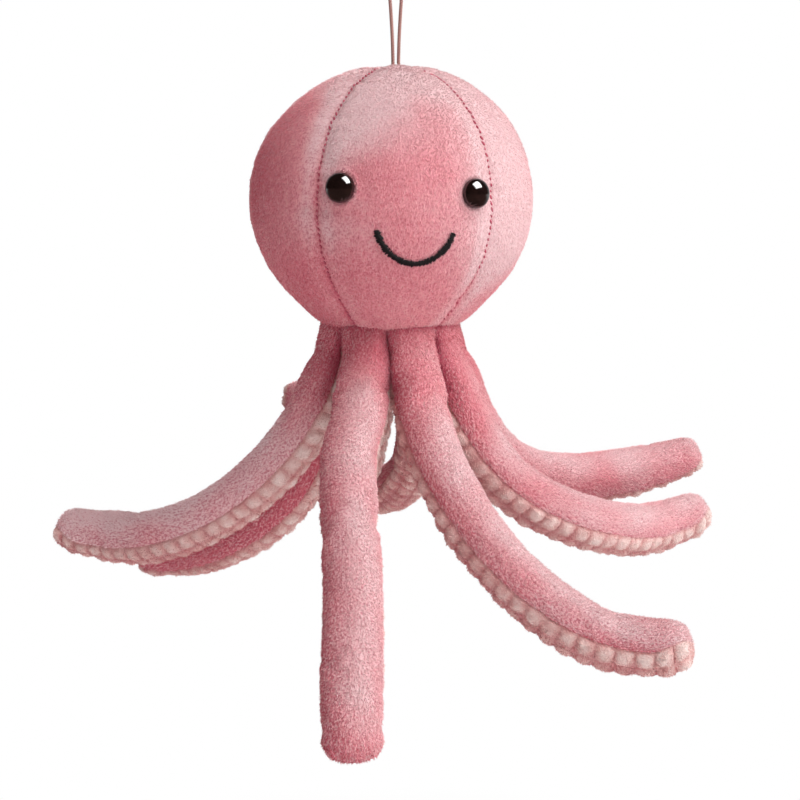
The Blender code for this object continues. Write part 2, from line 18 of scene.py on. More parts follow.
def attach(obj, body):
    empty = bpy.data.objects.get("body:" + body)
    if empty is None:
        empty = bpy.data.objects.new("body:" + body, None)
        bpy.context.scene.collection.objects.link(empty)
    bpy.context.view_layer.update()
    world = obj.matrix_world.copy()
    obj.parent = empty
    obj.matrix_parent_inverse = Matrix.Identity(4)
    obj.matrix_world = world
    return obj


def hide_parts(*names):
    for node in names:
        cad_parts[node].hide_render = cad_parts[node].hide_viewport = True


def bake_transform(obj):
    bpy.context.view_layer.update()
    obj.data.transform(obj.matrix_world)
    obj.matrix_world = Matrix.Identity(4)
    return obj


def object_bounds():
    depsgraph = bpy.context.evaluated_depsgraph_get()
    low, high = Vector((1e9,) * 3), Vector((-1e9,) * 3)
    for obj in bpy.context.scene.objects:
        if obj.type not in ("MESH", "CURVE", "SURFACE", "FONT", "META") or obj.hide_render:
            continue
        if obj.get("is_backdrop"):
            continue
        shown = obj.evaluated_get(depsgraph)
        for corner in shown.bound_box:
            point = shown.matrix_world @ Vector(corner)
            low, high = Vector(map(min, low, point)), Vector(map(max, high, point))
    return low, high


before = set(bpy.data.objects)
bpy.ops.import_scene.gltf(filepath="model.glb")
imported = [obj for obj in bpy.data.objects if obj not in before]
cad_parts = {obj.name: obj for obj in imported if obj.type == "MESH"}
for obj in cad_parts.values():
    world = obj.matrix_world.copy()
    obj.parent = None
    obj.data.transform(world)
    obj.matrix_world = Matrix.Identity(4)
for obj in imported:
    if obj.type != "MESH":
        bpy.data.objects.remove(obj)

MM = 0.001
cad_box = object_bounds()

# %% [markdown]
# ## The camera
#
# The camera comes first, because it decides how everything else is judged. The picture was taken
# from the front at the height of the face, a little above it and looking slightly down. It is
# taken from 0.7 m with a 73 mm lens, so the tip of the arm that reaches furthest forward looks
# 29 % larger than it would beside the middle of the head.

# %% Place the camera
CAMERA_PLACE = Vector((0.0018, -0.6996, -0.0821))
CAMERA_PITCH = math.radians(9.0037)
CAMERA_LENS = 73.26


def place_camera():
    """A level camera in front of the face that looks slightly down."""
    data = bpy.data.cameras.new("front_camera")
    data.lens = CAMERA_LENS
    data.clip_start = 0.01
    data.clip_end = 50.0
    camera = bpy.data.objects.new("front_camera", data)
    bpy.context.scene.collection.objects.link(camera)
    camera.location = CAMERA_PLACE
    camera.rotation_euler = (math.pi / 2 - CAMERA_PITCH, 0, 0)
    bpy.context.scene.camera = camera


place_camera()
print("camera lens", CAMERA_LENS, "mm, pitched", round(math.degrees(CAMERA_PITCH), 1), "degrees")

# %% [markdown]
# ## Small helpers for meshes
#
# Cloth surfaces are written as grids: rows of points that run along the piece, each row going
# across it or round it. A grid is easy to reason about, because a place on the cloth is simply a
# row and a column. Two values travel with every point. "cloth" is the place on the flat cloth, in
# metres, which lets a pattern follow the fabric when it bends. "rise" is the direction that the
# pile stands in, which lets fibres and puffs be pushed out of the surface later.

# %% Meshes from grids
def add_object(name, data):
    made = bpy.data.objects.new(name, data)
    bpy.context.scene.collection.objects.link(made)
    return made


def unit(vectors):
    """Each row of an array scaled to length one."""
    lengths = np.linalg.norm(vectors, axis=-1, keepdims=True)
    return vectors / np.maximum(lengths, 1e-12)


def keep_on_points(mesh, name, values):
    """Stores one number or one vector for each point of a mesh."""
    values = np.asarray(values, np.float32)
    kind, key = ("FLOAT_VECTOR", "vector") if values.ndim == 2 else ("FLOAT", "value")
    layer = mesh.attributes.new(name, kind, "POINT")
    layer.data.foreach_set(key, values.ravel())


def grid_faces(rows, columns, round_closed):
    """Four-sided faces between neighbouring rows, as indices into the grid's points."""
    across = columns if round_closed else columns - 1
    row = np.arange(rows - 1)[:, None] * columns
    here = np.arange(across)[None, :]
    there = (here + 1) % columns
    corners = [row + here, row + there, row + columns + there, row + columns + here]
    return np.stack(corners, axis=-1).reshape(-1, 4).tolist()


def mesh_object(name, points, faces, stored, sharp_angle=math.radians(50)):
    """A closed or open skin at the origin with outward faces and its stored values."""
    mesh = bpy.data.meshes.new(name)
    mesh.from_pydata(np.asarray(points).tolist(), [], faces)
    for label, values in stored.items():
        keep_on_points(mesh, label, values)
    work = bmesh.new()
    work.from_mesh(mesh)
    bmesh.ops.recalc_face_normals(work, faces=work.faces)
    work.to_mesh(mesh)
    work.free()
    mesh.shade_smooth()
    mesh.set_sharp_from_angle(angle=sharp_angle)
    return add_object(name, mesh)


def capped_tube(name, points, cloth, rise, more=()):
    """A tube through rings of points, shut by a fan at each end. The arrays are rings by points."""
    rings, count = points.shape[:2]
    faces = grid_faces(rings, count, round_closed=True)
    ends = []
    for ring, middle in ((0, rings * count), (rings - 1, rings * count + 1)):
        ends.append(points[ring].mean(axis=0))
        for i in range(count):
            faces.append([ring * count + i, ring * count + (i + 1) % count, middle])
    flat = np.vstack([points.reshape(-1, 3), ends])
    stored = {
        "cloth": np.vstack([cloth.reshape(-1, 3), cloth[0, :1], cloth[-1, :1]]),
        "rise": np.vstack([rise.reshape(-1, 3), np.zeros((2, 3))]),
    }
    for label, values in dict(more).items():
        values = values.reshape(rings * count, *values.shape[2:])
        stored[label] = np.concatenate([values, np.zeros((2, *values.shape[1:]))])
    return mesh_object(name, flat, faces, stored)


# %% [markdown]
# ## Small helpers for node trees
#
# Materials and Geometry Nodes are both trees of small steps. One helper adds a node and sets its
# inputs, so that the trees below read as short lists.

# %% Nodes by name
def node(tree, kind, inputs=(), **settings):
    """Adds a node, sets its properties, and sets or links its inputs by name or number."""
    made = tree.nodes.new(kind)
    for key, value in settings.items():
        setattr(made, key, value)
    for key, value in dict(inputs).items():
        if isinstance(value, bpy.types.NodeSocket):
            tree.links.new(value, made.inputs[key])
        else:
            made.inputs[key].default_value = value
    return made


def calculate(tree, operation, first, second=0.0, third=0.0, clamp=False):
    """A Math node's result, for shader and geometry trees alike."""
    made = node(tree, "ShaderNodeMath", {0: first, 1: second, 2: third}, operation=operation)
    made.use_clamp = clamp
    return made.outputs[0]


def vectors(tree, operation, first, second=None, scale=None):
    """A Vector Math node's result: a number for a length or a dot product, else a vector."""
    given = {0: first, 1: second, "Scale": scale}
    given = {key: value for key, value in given.items() if value is not None}
    made = node(tree, "ShaderNodeVectorMath", given, operation=operation)
    return made.outputs["Value" if operation in ("LENGTH", "DOT_PRODUCT") else "Vector"]


def parts_of(tree, vector):
    return node(tree, "ShaderNodeSeparateXYZ", {0: vector}).outputs


def vector_of(tree, x, y, z):
    return node(tree, "ShaderNodeCombineXYZ", {0: x, 1: y, 2: z}).outputs[0]


def mapped(tree, value, low, high, to_low=0.0, to_high=1.0):
    """A value taken from one range to another."""
    return node(tree, "ShaderNodeMapRange",
                {0: value, 1: low, 2: high, 3: to_low, 4: to_high}).outputs[0]


def noise_of(tree, place, grain, detail=2.0, roughness=0.5, distortion=0.0):
    """Noise whose lumps are about as wide as its grain, in metres."""
    return node(tree, "ShaderNodeTexNoise",
                {"Vector": place, "Scale": 1 / grain, "Detail": detail, "Roughness": roughness,
                 "Distortion": distortion}).outputs[0]


def own_place(tree):
    return node(tree, "ShaderNodeTexCoord").outputs["Object"]


def point_value(tree, name, kind="Fac"):
    """What the mesh stores at its points, for a material to use."""
    return node(tree, "ShaderNodeAttribute", attribute_name=name).outputs[kind]


def mixed(tree, share, first, second):
    """A colour that gives way to a second one."""
    return node(tree, "ShaderNodeMix", {0: share, 6: first, 7: (*second, 1.0)},
                data_type="RGBA").outputs[2]


def colour_steps(tree, factor, steps):
    """A Color Ramp from a list of (place, colour)."""
    ramp = node(tree, "ShaderNodeValToRGB", {0: factor})
    elements = ramp.color_ramp.elements
    while len(elements) < len(steps):
        elements.new(0.5)
    for element, (place, colour) in zip(elements, steps):
        element.position = place
        element.color = (*colour, 1.0)
    return ramp.outputs[0]


def from_hex(code):
    """A screen colour such as F3B5BB as the linear colour that a shader wants."""
    parts = [int(code[i:i + 2], 16) / 255 for i in (0, 2, 4)]
    return tuple(p / 12.92 if p <= 0.04045 else ((p + 0.055) / 1.055) ** 2.4 for p in parts)


def new_finish(name, roughness, sheen=0.0, tint=(1.0, 1.0, 1.0), sheen_roughness=0.5,
               specular=0.5):
    """A material with a Principled shader, whose plain numbers sit on its own sockets."""
    finish = bpy.data.materials.new(name)
    finish.use_nodes = True
    shader = finish.node_tree.nodes["Principled BSDF"]
    for socket, value in (("Roughness", roughness), ("Sheen Weight", sheen),
                          ("Sheen Roughness", sheen_roughness), ("Sheen Tint", (*tint, 1.0)),
                          ("Specular IOR Level", specular)):
        shader.inputs[socket].default_value = value
    return finish, finish.node_tree, shader


def end_finish(tree, shader, colour, height, depth, strength):
    """Gives a shader its colour and the small bumps that go with it."""
    tree.links.new(colour, shader.inputs["Base Color"])
    bump = node(tree, "ShaderNodeBump", {"Height": height, "Distance": depth, "Strength": strength})
    tree.links.new(bump.outputs[0], shader.inputs["Normal"])


# %% [markdown]
# ## The plush
#
# Short-pile plush is a knitted back with a dense nap of fine fibres. Seen close, the nap makes
# small tufts whose tips catch the light while the pits between them fall into shade. That is
# painted into the colour: a painted highlight of whitish pink at the tips and painted shade of
# dark red in the pits. It follows "tip", which the tuft tree stores as 0 at a tuft's root and 1 at
# its tip. The key lamp's light is painted in too: cloth facing up and to the right, towards that
# lamp, is painted paler, and cloth facing away is painted deeper, from "rise", the way the cloth
# faces. "brush" adds places where the pile is stroked lighter or darker, together with
# more painted light and shade, and "crease" is painted shade between two arms and under the
# neck's seam, where cloth faces cloth. On the arms the pile is longer and looser, and "coarse"
# raises the contrast of the painted pits and tips there.

# %% Plush material
PLUSH_DEEP_SHADED = from_hex("DF7C89")
PLUSH_BODY = from_hex("EDA0A8")
PLUSH_PALE_LIT = from_hex("F3D0D3")
PLUSH_SHADED_PIT = from_hex("C24C63")
PLUSH_LIT_TIP = from_hex("F8E2E3")
PLUSH_CREASE_SHADE = from_hex("B03A55")
# Painted light: the way towards the key lamp at the upper right.
LIT_FROM = (0.62, -0.2, 0.76)
TUFT_GRAIN = 1.0 * MM
FIBRE_GRAIN = 0.35 * MM
TONE_GRAIN = 36.0 * MM


def facing_the_key_lamp(tree):
    """How far the cloth faces the key lamp, for painted light and shade."""
    return vectors(tree, "DOT_PRODUCT", point_value(tree, "rise", "Vector"), LIT_FROM)


def brushed_and_lit_tone(tree, place, facing, grain, spread):
    """From 0, painted deep on cloth turned from the key lamp, to 1, painted pale facing it, with
    brush marks and random patches.
    """
    patches = noise_of(tree, place, grain, 3.0, 0.5, 0.6)
    slow = calculate(tree, "ADD", point_value(tree, "brush"),
                     calculate(tree, "MULTIPLY_ADD", facing, 0.42, 0.48))
    return calculate(tree, "MULTIPLY_ADD", calculate(tree, "SUBTRACT", patches, 0.5), spread, slow)


def plush_material():
    finish, tree, shader = new_finish("pink_plush", 0.95, 0.5, from_hex("FFEDED"), 0.45, 0.1)
    place = point_value(tree, "cloth", "Vector")
    facing = facing_the_key_lamp(tree)
    tone = brushed_and_lit_tone(tree, place, facing, TONE_GRAIN, 0.55)
    # Painted light and shade: the plush's pale lit tone and deep shaded tone, with brush marks
    # between.
    brushed_and_lit = colour_steps(tree, tone, [(0.15, PLUSH_DEEP_SHADED), (0.5, PLUSH_BODY), (0.9, PLUSH_PALE_LIT)])
    clump = noise_of(tree, place, TUFT_GRAIN, 2.0, 0.6)
    fibre = noise_of(tree, place, FIBRE_GRAIN, 2.0, 0.6)
    grain = calculate(tree, "MULTIPLY_ADD", clump, 0.8, calculate(tree, "MULTIPLY", fibre, 0.5))
    # Painted shade: the pits' contrast is raised on cloth turned from the key lamp and on the arms,
    # and lit cloth shows more of its tips.
    coarse = calculate(tree, "MULTIPLY_ADD", point_value(tree, "coarse"), 2.2, 1.0)
    rough = calculate(tree, "MULTIPLY", mapped(tree, facing, -0.3, 0.7, 3.1, 0.8), coarse)
    grainy = calculate(tree, "MULTIPLY", calculate(tree, "SUBTRACT", grain, 0.65), rough)
    height = calculate(tree, "MULTIPLY_ADD", point_value(tree, "tip"), 0.65, grainy)
    height = calculate(tree, "MULTIPLY_ADD", tone, 0.16, height)
    # Painted shade in the pits and a painted highlight on the tips.
    low = mixed(tree, mapped(tree, height, 0.2, -0.2, 0.0, 0.6), brushed_and_lit, PLUSH_SHADED_PIT)
    high = mixed(tree, mapped(tree, height, 0.35, 0.95, 0.0, 0.5), low, PLUSH_LIT_TIP)
    # Painted shade where cloth faces cloth, between arms and under the neck.
    colour = mixed(tree, point_value(tree, "crease"), high, PLUSH_CREASE_SHADE)
    end_finish(tree, shader, colour, grain, 0.5 * MM, 0.9)
    return finish


plush = plush_material()
print("plush:", len(plush.node_tree.nodes), "nodes")

# %% [markdown]
# ## The bubble fabric
#
# The underside strips are a fleece that is pressed into rows of small puffs. The puffs' tops are
# painted nearly white, a painted highlight, and the grooves are painted pink, as painted shade and
# painted pink light bounced from the plush beside them. The geometry stores each point's height on
# its puff as "puff", which the colour follows, and strip cloth facing the key lamp is painted
# paler.

# %% Bubble fabric material
PUFF_SHADED_GROOVE = from_hex("CB7A7F")
PUFF_SIDE = from_hex("E0A8A5")
PUFF_LIT_TOP = from_hex("F4DAD5")
FLEECE_GRAIN = 0.45 * MM
BLOTCH_GRAIN = 5.0 * MM
STRIP_TONE_GRAIN = 12.0 * MM


def bubble_material():
    finish, tree, shader = new_finish("bubble_fabric", 0.9, 0.5, from_hex("FFF4F1"), 0.5, 0.2)
    place = point_value(tree, "cloth", "Vector")
    fleece = noise_of(tree, place, FLEECE_GRAIN, 2.0, 0.65)
    blotch = noise_of(tree, place, BLOTCH_GRAIN)
    # Painted light: strip cloth facing the key lamp is paler.
    tone = brushed_and_lit_tone(tree, place, facing_the_key_lamp(tree), STRIP_TONE_GRAIN, 0.5)
    shade = calculate(tree, "MULTIPLY_ADD", point_value(tree, "puff"), 0.45,
                      calculate(tree, "MULTIPLY", tone, 0.85))
    shade = calculate(tree, "SUBTRACT", shade, 0.06)
    for patches, spread in ((blotch, 0.5), (fleece, 0.6)):
        patches = calculate(tree, "SUBTRACT", patches, 0.5)
        shade = calculate(tree, "MULTIPLY_ADD", patches, spread, shade)
    # Painted shade in the grooves and a painted highlight on the puff tops.
    colour = colour_steps(tree, shade, [(0.1, PUFF_SHADED_GROOVE), (0.45, PUFF_SIDE), (0.85, PUFF_LIT_TOP)])
    end_finish(tree, shader, colour, fleece, 0.5 * MM, 0.9)
    return finish


bubble = bubble_material()
print("bubble fabric:", len(bubble.node_tree.nodes), "nodes")

# %% [markdown]
# ## Threads, cord, eyes and what is inside
#
# A sewing thread is a few twisted plies, so it gets a fine slanting ripple. The eyes are polished
# plastic with a clear outer layer: nearly black, with a warm brown cast and very faint handling
# marks that only change how sharp the reflection is.

# %% Thread, cord, plastic and stuffing materials
def thread_material(name, colour, ply, roughness):
    """Twisted thread: painted shade between its plies and a painted highlight on them."""
    finish, tree, shader = new_finish(name, roughness, 0.02, (1.0, 0.95, 0.95), 0.4, 0.2)
    place = own_place(tree)
    wave = node(tree, "ShaderNodeTexWave", {"Vector": place, "Scale": 1 / ply, "Distortion": 2.0,
                                            "Detail": 1.0}, bands_direction="DIAGONAL").outputs[1]
    fuzz = noise_of(tree, place, 0.3 * MM)
    shade = calculate(tree, "MULTIPLY_ADD", fuzz, 0.5, calculate(tree, "MULTIPLY", wave, 0.5))
    # Painted shade and painted highlight of the plies.
    dark = tuple(c * 0.55 for c in colour)
    light = tuple(min(1.0, c * 1.3 + 0.01) for c in colour)
    colour = colour_steps(tree, shade, [(0.2, dark), (0.8, light)])
    end_finish(tree, shader, colour, shade, 0.12 * MM, 0.7)
    return finish


def cord_material():
    """Twisted cord: painted shade in the furrows between the strands, and fine fuzz lies over them.
    """
    finish, tree, shader = new_finish("brown_pink_cord", 0.8, 0.4, from_hex("FFE2DC"), 0.5)
    fuzz = noise_of(tree, own_place(tree), 0.25 * MM)
    shade = calculate(tree, "MULTIPLY_ADD", point_value(tree, "lobe"), 0.35,
                      calculate(tree, "MULTIPLY", fuzz, 0.8))
    # Painted shade in the furrows, paler on the strands' crowns as a painted highlight.
    colour = colour_steps(tree, shade, [(0.15, from_hex("7A4E49")), (0.5, from_hex("B98077")),
                                        (0.85, from_hex("D8A79D"))])
    end_finish(tree, shader, colour, fuzz, 0.1 * MM, 0.6)
    return finish


def grained_material(name, settings, grain, colours, depth, strength):
    """A material whose two colours and bumps follow one noise, which is given as well."""
    finish, tree, shader = new_finish(name, **settings)
    pattern = noise_of(tree, own_place(tree), *grain)
    dark, light = colours
    colour = colour_steps(tree, pattern, [(0.3, dark), (0.7, light)])
    end_finish(tree, shader, colour, pattern, depth, strength)
    return finish, pattern


def eye_material():
    """Polished dark plastic under a clear coat, with faint handling marks."""
    finish, marks = grained_material(
        "dark_eye_plastic", {"roughness": 0.1, "specular": 0.45}, (3 * MM, 4.0, 0.7),
        ((0.006, 0.0032, 0.003), (0.016, 0.007, 0.006)), 0.02 * MM, 0.2)
    tree = finish.node_tree
    shader = tree.nodes["Principled BSDF"]
    shader.inputs["Coat Weight"].default_value = 0.5
    shader.inputs["Coat Roughness"].default_value = 0.06
    rough = calculate(tree, "MULTIPLY_ADD", marks, 0.06, 0.03)
    tree.links.new(rough, shader.inputs["Roughness"])
    return finish


def washer_material():
    """Moulded milky plastic with a slightly pebbled skin."""
    return grained_material("washer_plastic", {"roughness": 0.45}, (0.8 * MM, 3.0),
                            ((0.7, 0.7, 0.67), (0.82, 0.82, 0.79)), 0.05 * MM, 0.4)[0]


def stuffing_material():
    """Carded polyester fibre: white, cloudy, with long soft strands."""
    return grained_material("polyester_stuffing", {"roughness": 1.0, "sheen": 0.6},
                            (2.2 * MM, 6.0, 0.7, 1.5), ((0.66, 0.66, 0.65), (0.9, 0.9, 0.89)),
                            1.2 * MM, 0.8)[0]


smile_thread = thread_material("dark_thread", from_hex("150E10"), 0.5 * MM, 0.75)
seam_thread = thread_material("rose_thread", from_hex("CC5F73"), 0.4 * MM, 0.8)
cord_finish = cord_material()
eye_finish = eye_material()
washer_finish = washer_material()
stuffing_finish = stuffing_material()
print("materials:", len(bpy.data.materials))

# %% [markdown]
# ## Growing detail with Geometry Nodes
#
# Nap, puffs, stitches, satin threads and the twist of the cord all repeat by a rule, so a node
# tree makes each of them. Every tree is built here in the script, with its sizes as named inputs.
# It runs once: its result becomes a plain mesh, and the modifier is taken off again, so that what
# is kept doesn't depend on it.

# %% Trees that run once
def new_tree(name, sizes):
    """A Geometry Nodes tree with named inputs, from their names and usual values."""
    tree = bpy.data.node_groups.new(name, "GeometryNodeTree")
    tree.is_modifier = True
    sockets = tree.interface
    sockets.new_socket("Geometry", in_out="INPUT", socket_type="NodeSocketGeometry")
    for label, value in sizes.items():
        kind = "NodeSocketInt" if isinstance(value, int) else "NodeSocketFloat"
        sockets.new_socket(label, in_out="INPUT", socket_type=kind).default_value = value
    sockets.new_socket("Finish", in_out="INPUT", socket_type="NodeSocketMaterial")
    sockets.new_socket("Geometry", in_out="OUTPUT", socket_type="NodeSocketGeometry")
    return tree, node(tree, "NodeGroupInput").outputs


def end_tree(tree, geometry, given):
    """Every tree ends in real meshes that carry their material."""
    real = node(tree, "GeometryNodeRealizeInstances", {0: geometry}).outputs[0]
    painted = node(tree, "GeometryNodeSetMaterial", {"Geometry": real, "Material": given["Finish"]})
    node(tree, "NodeGroupOutput", {0: painted.outputs[0]})


def stored_vector(tree, name):
    made = node(tree, "GeometryNodeInputNamedAttribute", data_type="FLOAT_VECTOR")
    made.inputs["Name"].default_value = name
    return made.outputs["Attribute"]


def chance(tree, seed, low, high):
    """A random number for each point, or a random vector if the two ends are vectors."""
    vector = isinstance(low, tuple)
    made = node(tree, "FunctionNodeRandomValue", {"Seed": seed},
                data_type="FLOAT_VECTOR" if vector else "FLOAT")
    first = 0 if vector else 2
    made.inputs[first].default_value = low
    made.inputs[first + 1].default_value = high
    return made.outputs[0 if vector else 1]


def pushed(tree, geometry, lift):
    """The geometry with its points moved along "rise"."""
    push = vectors(tree, "SCALE", stored_vector(tree, "rise"), scale=lift)
    return node(tree, "GeometryNodeSetPosition", {"Geometry": geometry, "Offset": push}).outputs[0]


def keep_number(tree, geometry, name, value):
    made = node(tree, "GeometryNodeStoreNamedAttribute", {0: geometry}, data_type="FLOAT",
                domain="POINT")
    made.inputs["Name"].default_value = name
    tree.links.new(value, made.inputs["Value"])
    return made.outputs[0]


def settle(piece, sharp_angle=math.radians(65)):
    """Turns a piece and its modifiers into one plain mesh, smooth but for its cut edges."""
    piece.update_tag()
    bpy.context.view_layer.update()
    graph = bpy.context.evaluated_depsgraph_get()
    made = bpy.data.meshes.new_from_object(piece.evaluated_get(graph), depsgraph=graph,
                                           preserve_all_data_layers=True)
    piece.modifiers.clear()
    old = piece.data
    piece.data = made
    bpy.data.meshes.remove(old)
    made.name = piece.name
    made.shade_smooth()
    made.set_sharp_from_angle(angle=sharp_angle)
    return piece


def grow(piece, tree, sizes):
    """Runs a tree on a piece and keeps the result as the piece's plain mesh."""
    step = piece.modifiers.new(tree.name, "NODES")
    step.node_group = tree
    for socket in tree.interface.items_tree:
        if socket.item_type == "SOCKET" and socket.in_out == "INPUT" and socket.name in sizes:
            step[socket.identifier] = sizes[socket.name]
    return settle(piece)


# %% [markdown]
# The nap tree pushes the skin in and out along "rise" with a noise that lives on the cloth.

# %% The nap tree
NAP_SIZES = {"Grain": 1.6 * MM, "Height": 0.2 * MM}
ARM_NAP_SIZES = {"Grain": 2.2 * MM, "Height": 0.24 * MM}


def nap_tree():
    tree, given = new_tree("short_nap", {"Grain": 1.5 * MM, "Height": 0.3 * MM})
    scale = calculate(tree, "DIVIDE", 1.0, given["Grain"])
    clump = node(tree, "ShaderNodeTexNoise",
                 {"Vector": stored_vector(tree, "cloth"), "Scale": scale, "Detail": 2.0,
                  "Roughness": 0.55, "Distortion": 0.4}).outputs[0]
    lift = calculate(tree, "MULTIPLY", calculate(tree, "SUBTRACT", clump, 0.5), given["Height"])
    lift = calculate(tree, "MULTIPLY", lift, 3.0)
    end_tree(tree, pushed(tree, given["Geometry"], lift), given)
    return tree


short_nap = nap_tree()
print("nap tree:", len(short_nap.nodes), "nodes")

# %% [markdown]
# Over the relief stand the tufts themselves. A tuft is a slim three-sided spike, one of many
# thousand, so it has as few faces as a closed shape can. The tree scatters them over the faces that
# look outwards, tilts each one along "lay", the way the pile was brushed, with a little chance, and
# writes "tip" along it for the plush material. They are joined to the cloth, so cloth and pile are
# one piece.

# %% The tuft tree
HEAD_TUFTS = {"Each": 1.8e6, "Long": 1.0 * MM, "Thick": 0.23 * MM, "Lean": 1.9, "Seed": 4}
STRIP_TUFTS = {"Each": 1.3e6, "Long": 0.75 * MM, "Thick": 0.3 * MM, "Lean": 0.0, "Seed": 9}
ARM_TUFTS = {"Each": 2.0e6, "Long": 1.1 * MM, "Thick": 0.25 * MM, "Lean": 1.4, "Seed": 6}


def tuft_tree():
    tree, given = new_tree("tufts", {"Each": 1.5e6, "Long": 1.2 * MM, "Thick": 0.3 * MM,
                                     "Lean": 1.0, "Seed": 4})
    rise = stored_vector(tree, "rise")
    looks = node(tree, "GeometryNodeInputNormal").outputs[0]
    bare = node(tree, "GeometryNodeInputNamedAttribute", data_type="FLOAT")
    bare.inputs["Name"].default_value = "bare"
    furred = calculate(tree, "SUBTRACT", vectors(tree, "DOT_PRODUCT", looks, rise),
                       bare.outputs["Attribute"])
    chosen = calculate(tree, "GREATER_THAN", furred, 0.3)
    roots = node(tree, "GeometryNodeDistributePointsOnFaces",
                 {"Mesh": given["Geometry"], "Selection": chosen, "Density": given["Each"],
                  "Seed": given["Seed"]}, distribute_method="RANDOM")
    leaned = vectors(tree, "SCALE", stored_vector(tree, "lay"), scale=given["Lean"])
    way = vectors(tree, "ADD", vectors(tree, "ADD", rise, leaned),
                  chance(tree, given["Seed"], (-0.6, -0.6, -0.6), (0.6, 0.6, 0.6)))
    aim = node(tree, "FunctionNodeAlignRotationToVector", {"Vector": way}, axis="Z").outputs[0]
    spike = node(tree, "GeometryNodeMeshCone",
                 {"Vertices": 3, "Radius Top": 0.0, "Radius Bottom": 1.0, "Depth": 1.0},
                 fill_type="NGON").outputs["Mesh"]
    spot = node(tree, "GeometryNodeInputPosition").outputs[0]
    spike = keep_number(tree, spike, "tip", parts_of(tree, spot)[2])
    long = calculate(tree, "MULTIPLY", given["Long"], chance(tree, given["Seed"], 0.65, 1.3))
    tufts = node(tree, "GeometryNodeInstanceOnPoints",
                 {"Points": roots.outputs["Points"], "Instance": spike, "Rotation": aim,
                  "Scale": vector_of(tree, given["Thick"], given["Thick"], long)}).outputs[0]
    real = node(tree, "GeometryNodeRealizeInstances", {0: tufts}).outputs[0]
    both = node(tree, "GeometryNodeJoinGeometry")
    tree.links.new(real, both.inputs[0])
    tree.links.new(given["Geometry"], both.inputs[0])
    end_tree(tree, both.outputs[0], given)
    return tree


tufts = tuft_tree()
print("tuft tree:", len(tufts.nodes), "nodes")

# %% [markdown]
# ## The hanging loop and its knot
#
# One thin cord runs up out of the head, over the hook and down again, and is knotted inside. It is
# three strands laid together. A node tree sweeps a three-lobed outline along the cord's line while
# turning it steadily, which is exactly how such a cord is twisted.

# %% The twisted cord tree
CORD_RADIUS = 0.8 * MM
CORD_LAY = 3.6 * MM


def cord_tree():
    tree, given = new_tree("twisted_cord", {"Radius": CORD_RADIUS, "Lay": CORD_LAY,
                                            "Step": 0.35 * MM})
    line = node(tree, "GeometryNodeMeshToCurve", {0: given["Geometry"]}).outputs[0]
    fine = node(tree, "GeometryNodeResampleCurve", {"Curve": line, "Length": given["Step"]},
                mode="LENGTH").outputs[0]
    length = node(tree, "GeometryNodeSplineParameter").outputs["Length"]
    turns = calculate(tree, "DIVIDE", length, given["Lay"])
    tilt = calculate(tree, "MULTIPLY", turns, 2 * math.pi)
    tilted = node(tree, "GeometryNodeSetCurveTilt", {"Curve": fine, "Tilt": tilt}).outputs[0]
    ring = node(tree, "GeometryNodeCurvePrimitiveCircle",
                {"Resolution": 15, "Radius": given["Radius"]}).outputs[0]
    spot = node(tree, "GeometryNodeInputPosition").outputs[0]
    parts = parts_of(tree, spot)
    angle = calculate(tree, "ARCTAN2", parts[1], parts[0])
    lobe = calculate(tree, "COSINE", calculate(tree, "MULTIPLY", angle, 3.0))
    there = vectors(tree, "SCALE", spot, scale=calculate(tree, "MULTIPLY_ADD", lobe, 0.09, 0.91))
    kept = keep_number(tree, ring, "lobe", lobe)
    lobed = node(tree, "GeometryNodeSetPosition", {"Geometry": kept, "Position": there}).outputs[0]
    swept = node(tree, "GeometryNodeCurveToMesh", {"Curve": tilted, "Profile Curve": lobed,
                                                   "Fill Caps": True}).outputs[0]
    end_tree(tree, swept, given)
    return tree


twisted_cord = cord_tree()
print("cord tree:", len(twisted_cord.nodes), "nodes")

# %% [markdown]
# The route of the loop is the same as in the solid model, written as shares of its height across
# and up, and a smooth curve is run through it.

# %% Sizes and curves shared with the solid model
LOOP_HEIGHT = 50.0 * MM
LOOP_ROUTE_SHARES = [
    (-0.024, -1.000), (-0.024, -0.940), (-0.028, -0.800), (-0.036, -0.640), (-0.048, -0.460),
    (-0.064, -0.280), (-0.080, -0.150), (-0.084, -0.080), (-0.068, -0.024), (-0.036, 0.008),
    (0.000, 0.016), (0.036, 0.008), (0.068, -0.024), (0.084, -0.080), (0.080, -0.150),
    (0.064, -0.280), (0.048, -0.460), (0.036, -0.640), (0.028, -0.800), (0.024, -0.940),
    (0.024, -1.000),
]
HEAD_TOP = -LOOP_HEIGHT
ROUTE_FINE_STEPS = 24


def between(values, first, t):
    """A value after values[first], on the smooth curve that runs through all of them."""
    a = values[max(first - 1, 0)]
    b = values[first]
    c = values[first + 1]
    d = values[min(first + 2, len(values) - 1)]
    return b + 0.5 * t * (c - a + t * (2 * a - 5 * b + 4 * c - d + t * (3 * (b - c) + d - a)))


def smooth_course(values, share):
    """A value at a share of the way along even stations, eased through them without a kink."""
    place = min(max(share, 0.0), 1.0) * (len(values) - 1)
    first = min(int(place), len(values) - 2)
    return between(values, first, place - first)


def ease(share):
    share = min(max(share, 0.0), 1.0)
    return share * share * (3 - 2 * share)


# %% Sweep the loop and the knot
def line_object(name, points, closed=False):
    """Points joined by edges, for a tree to sweep or to set stitches on."""
    mesh = bpy.data.meshes.new(name)
    edges = [(i, i + 1) for i in range(len(points) - 1)]
    if closed:
        edges.append((len(points) - 1, 0))
    mesh.from_pydata([tuple(p) for p in points], edges, [])
    return add_object(name, mesh)


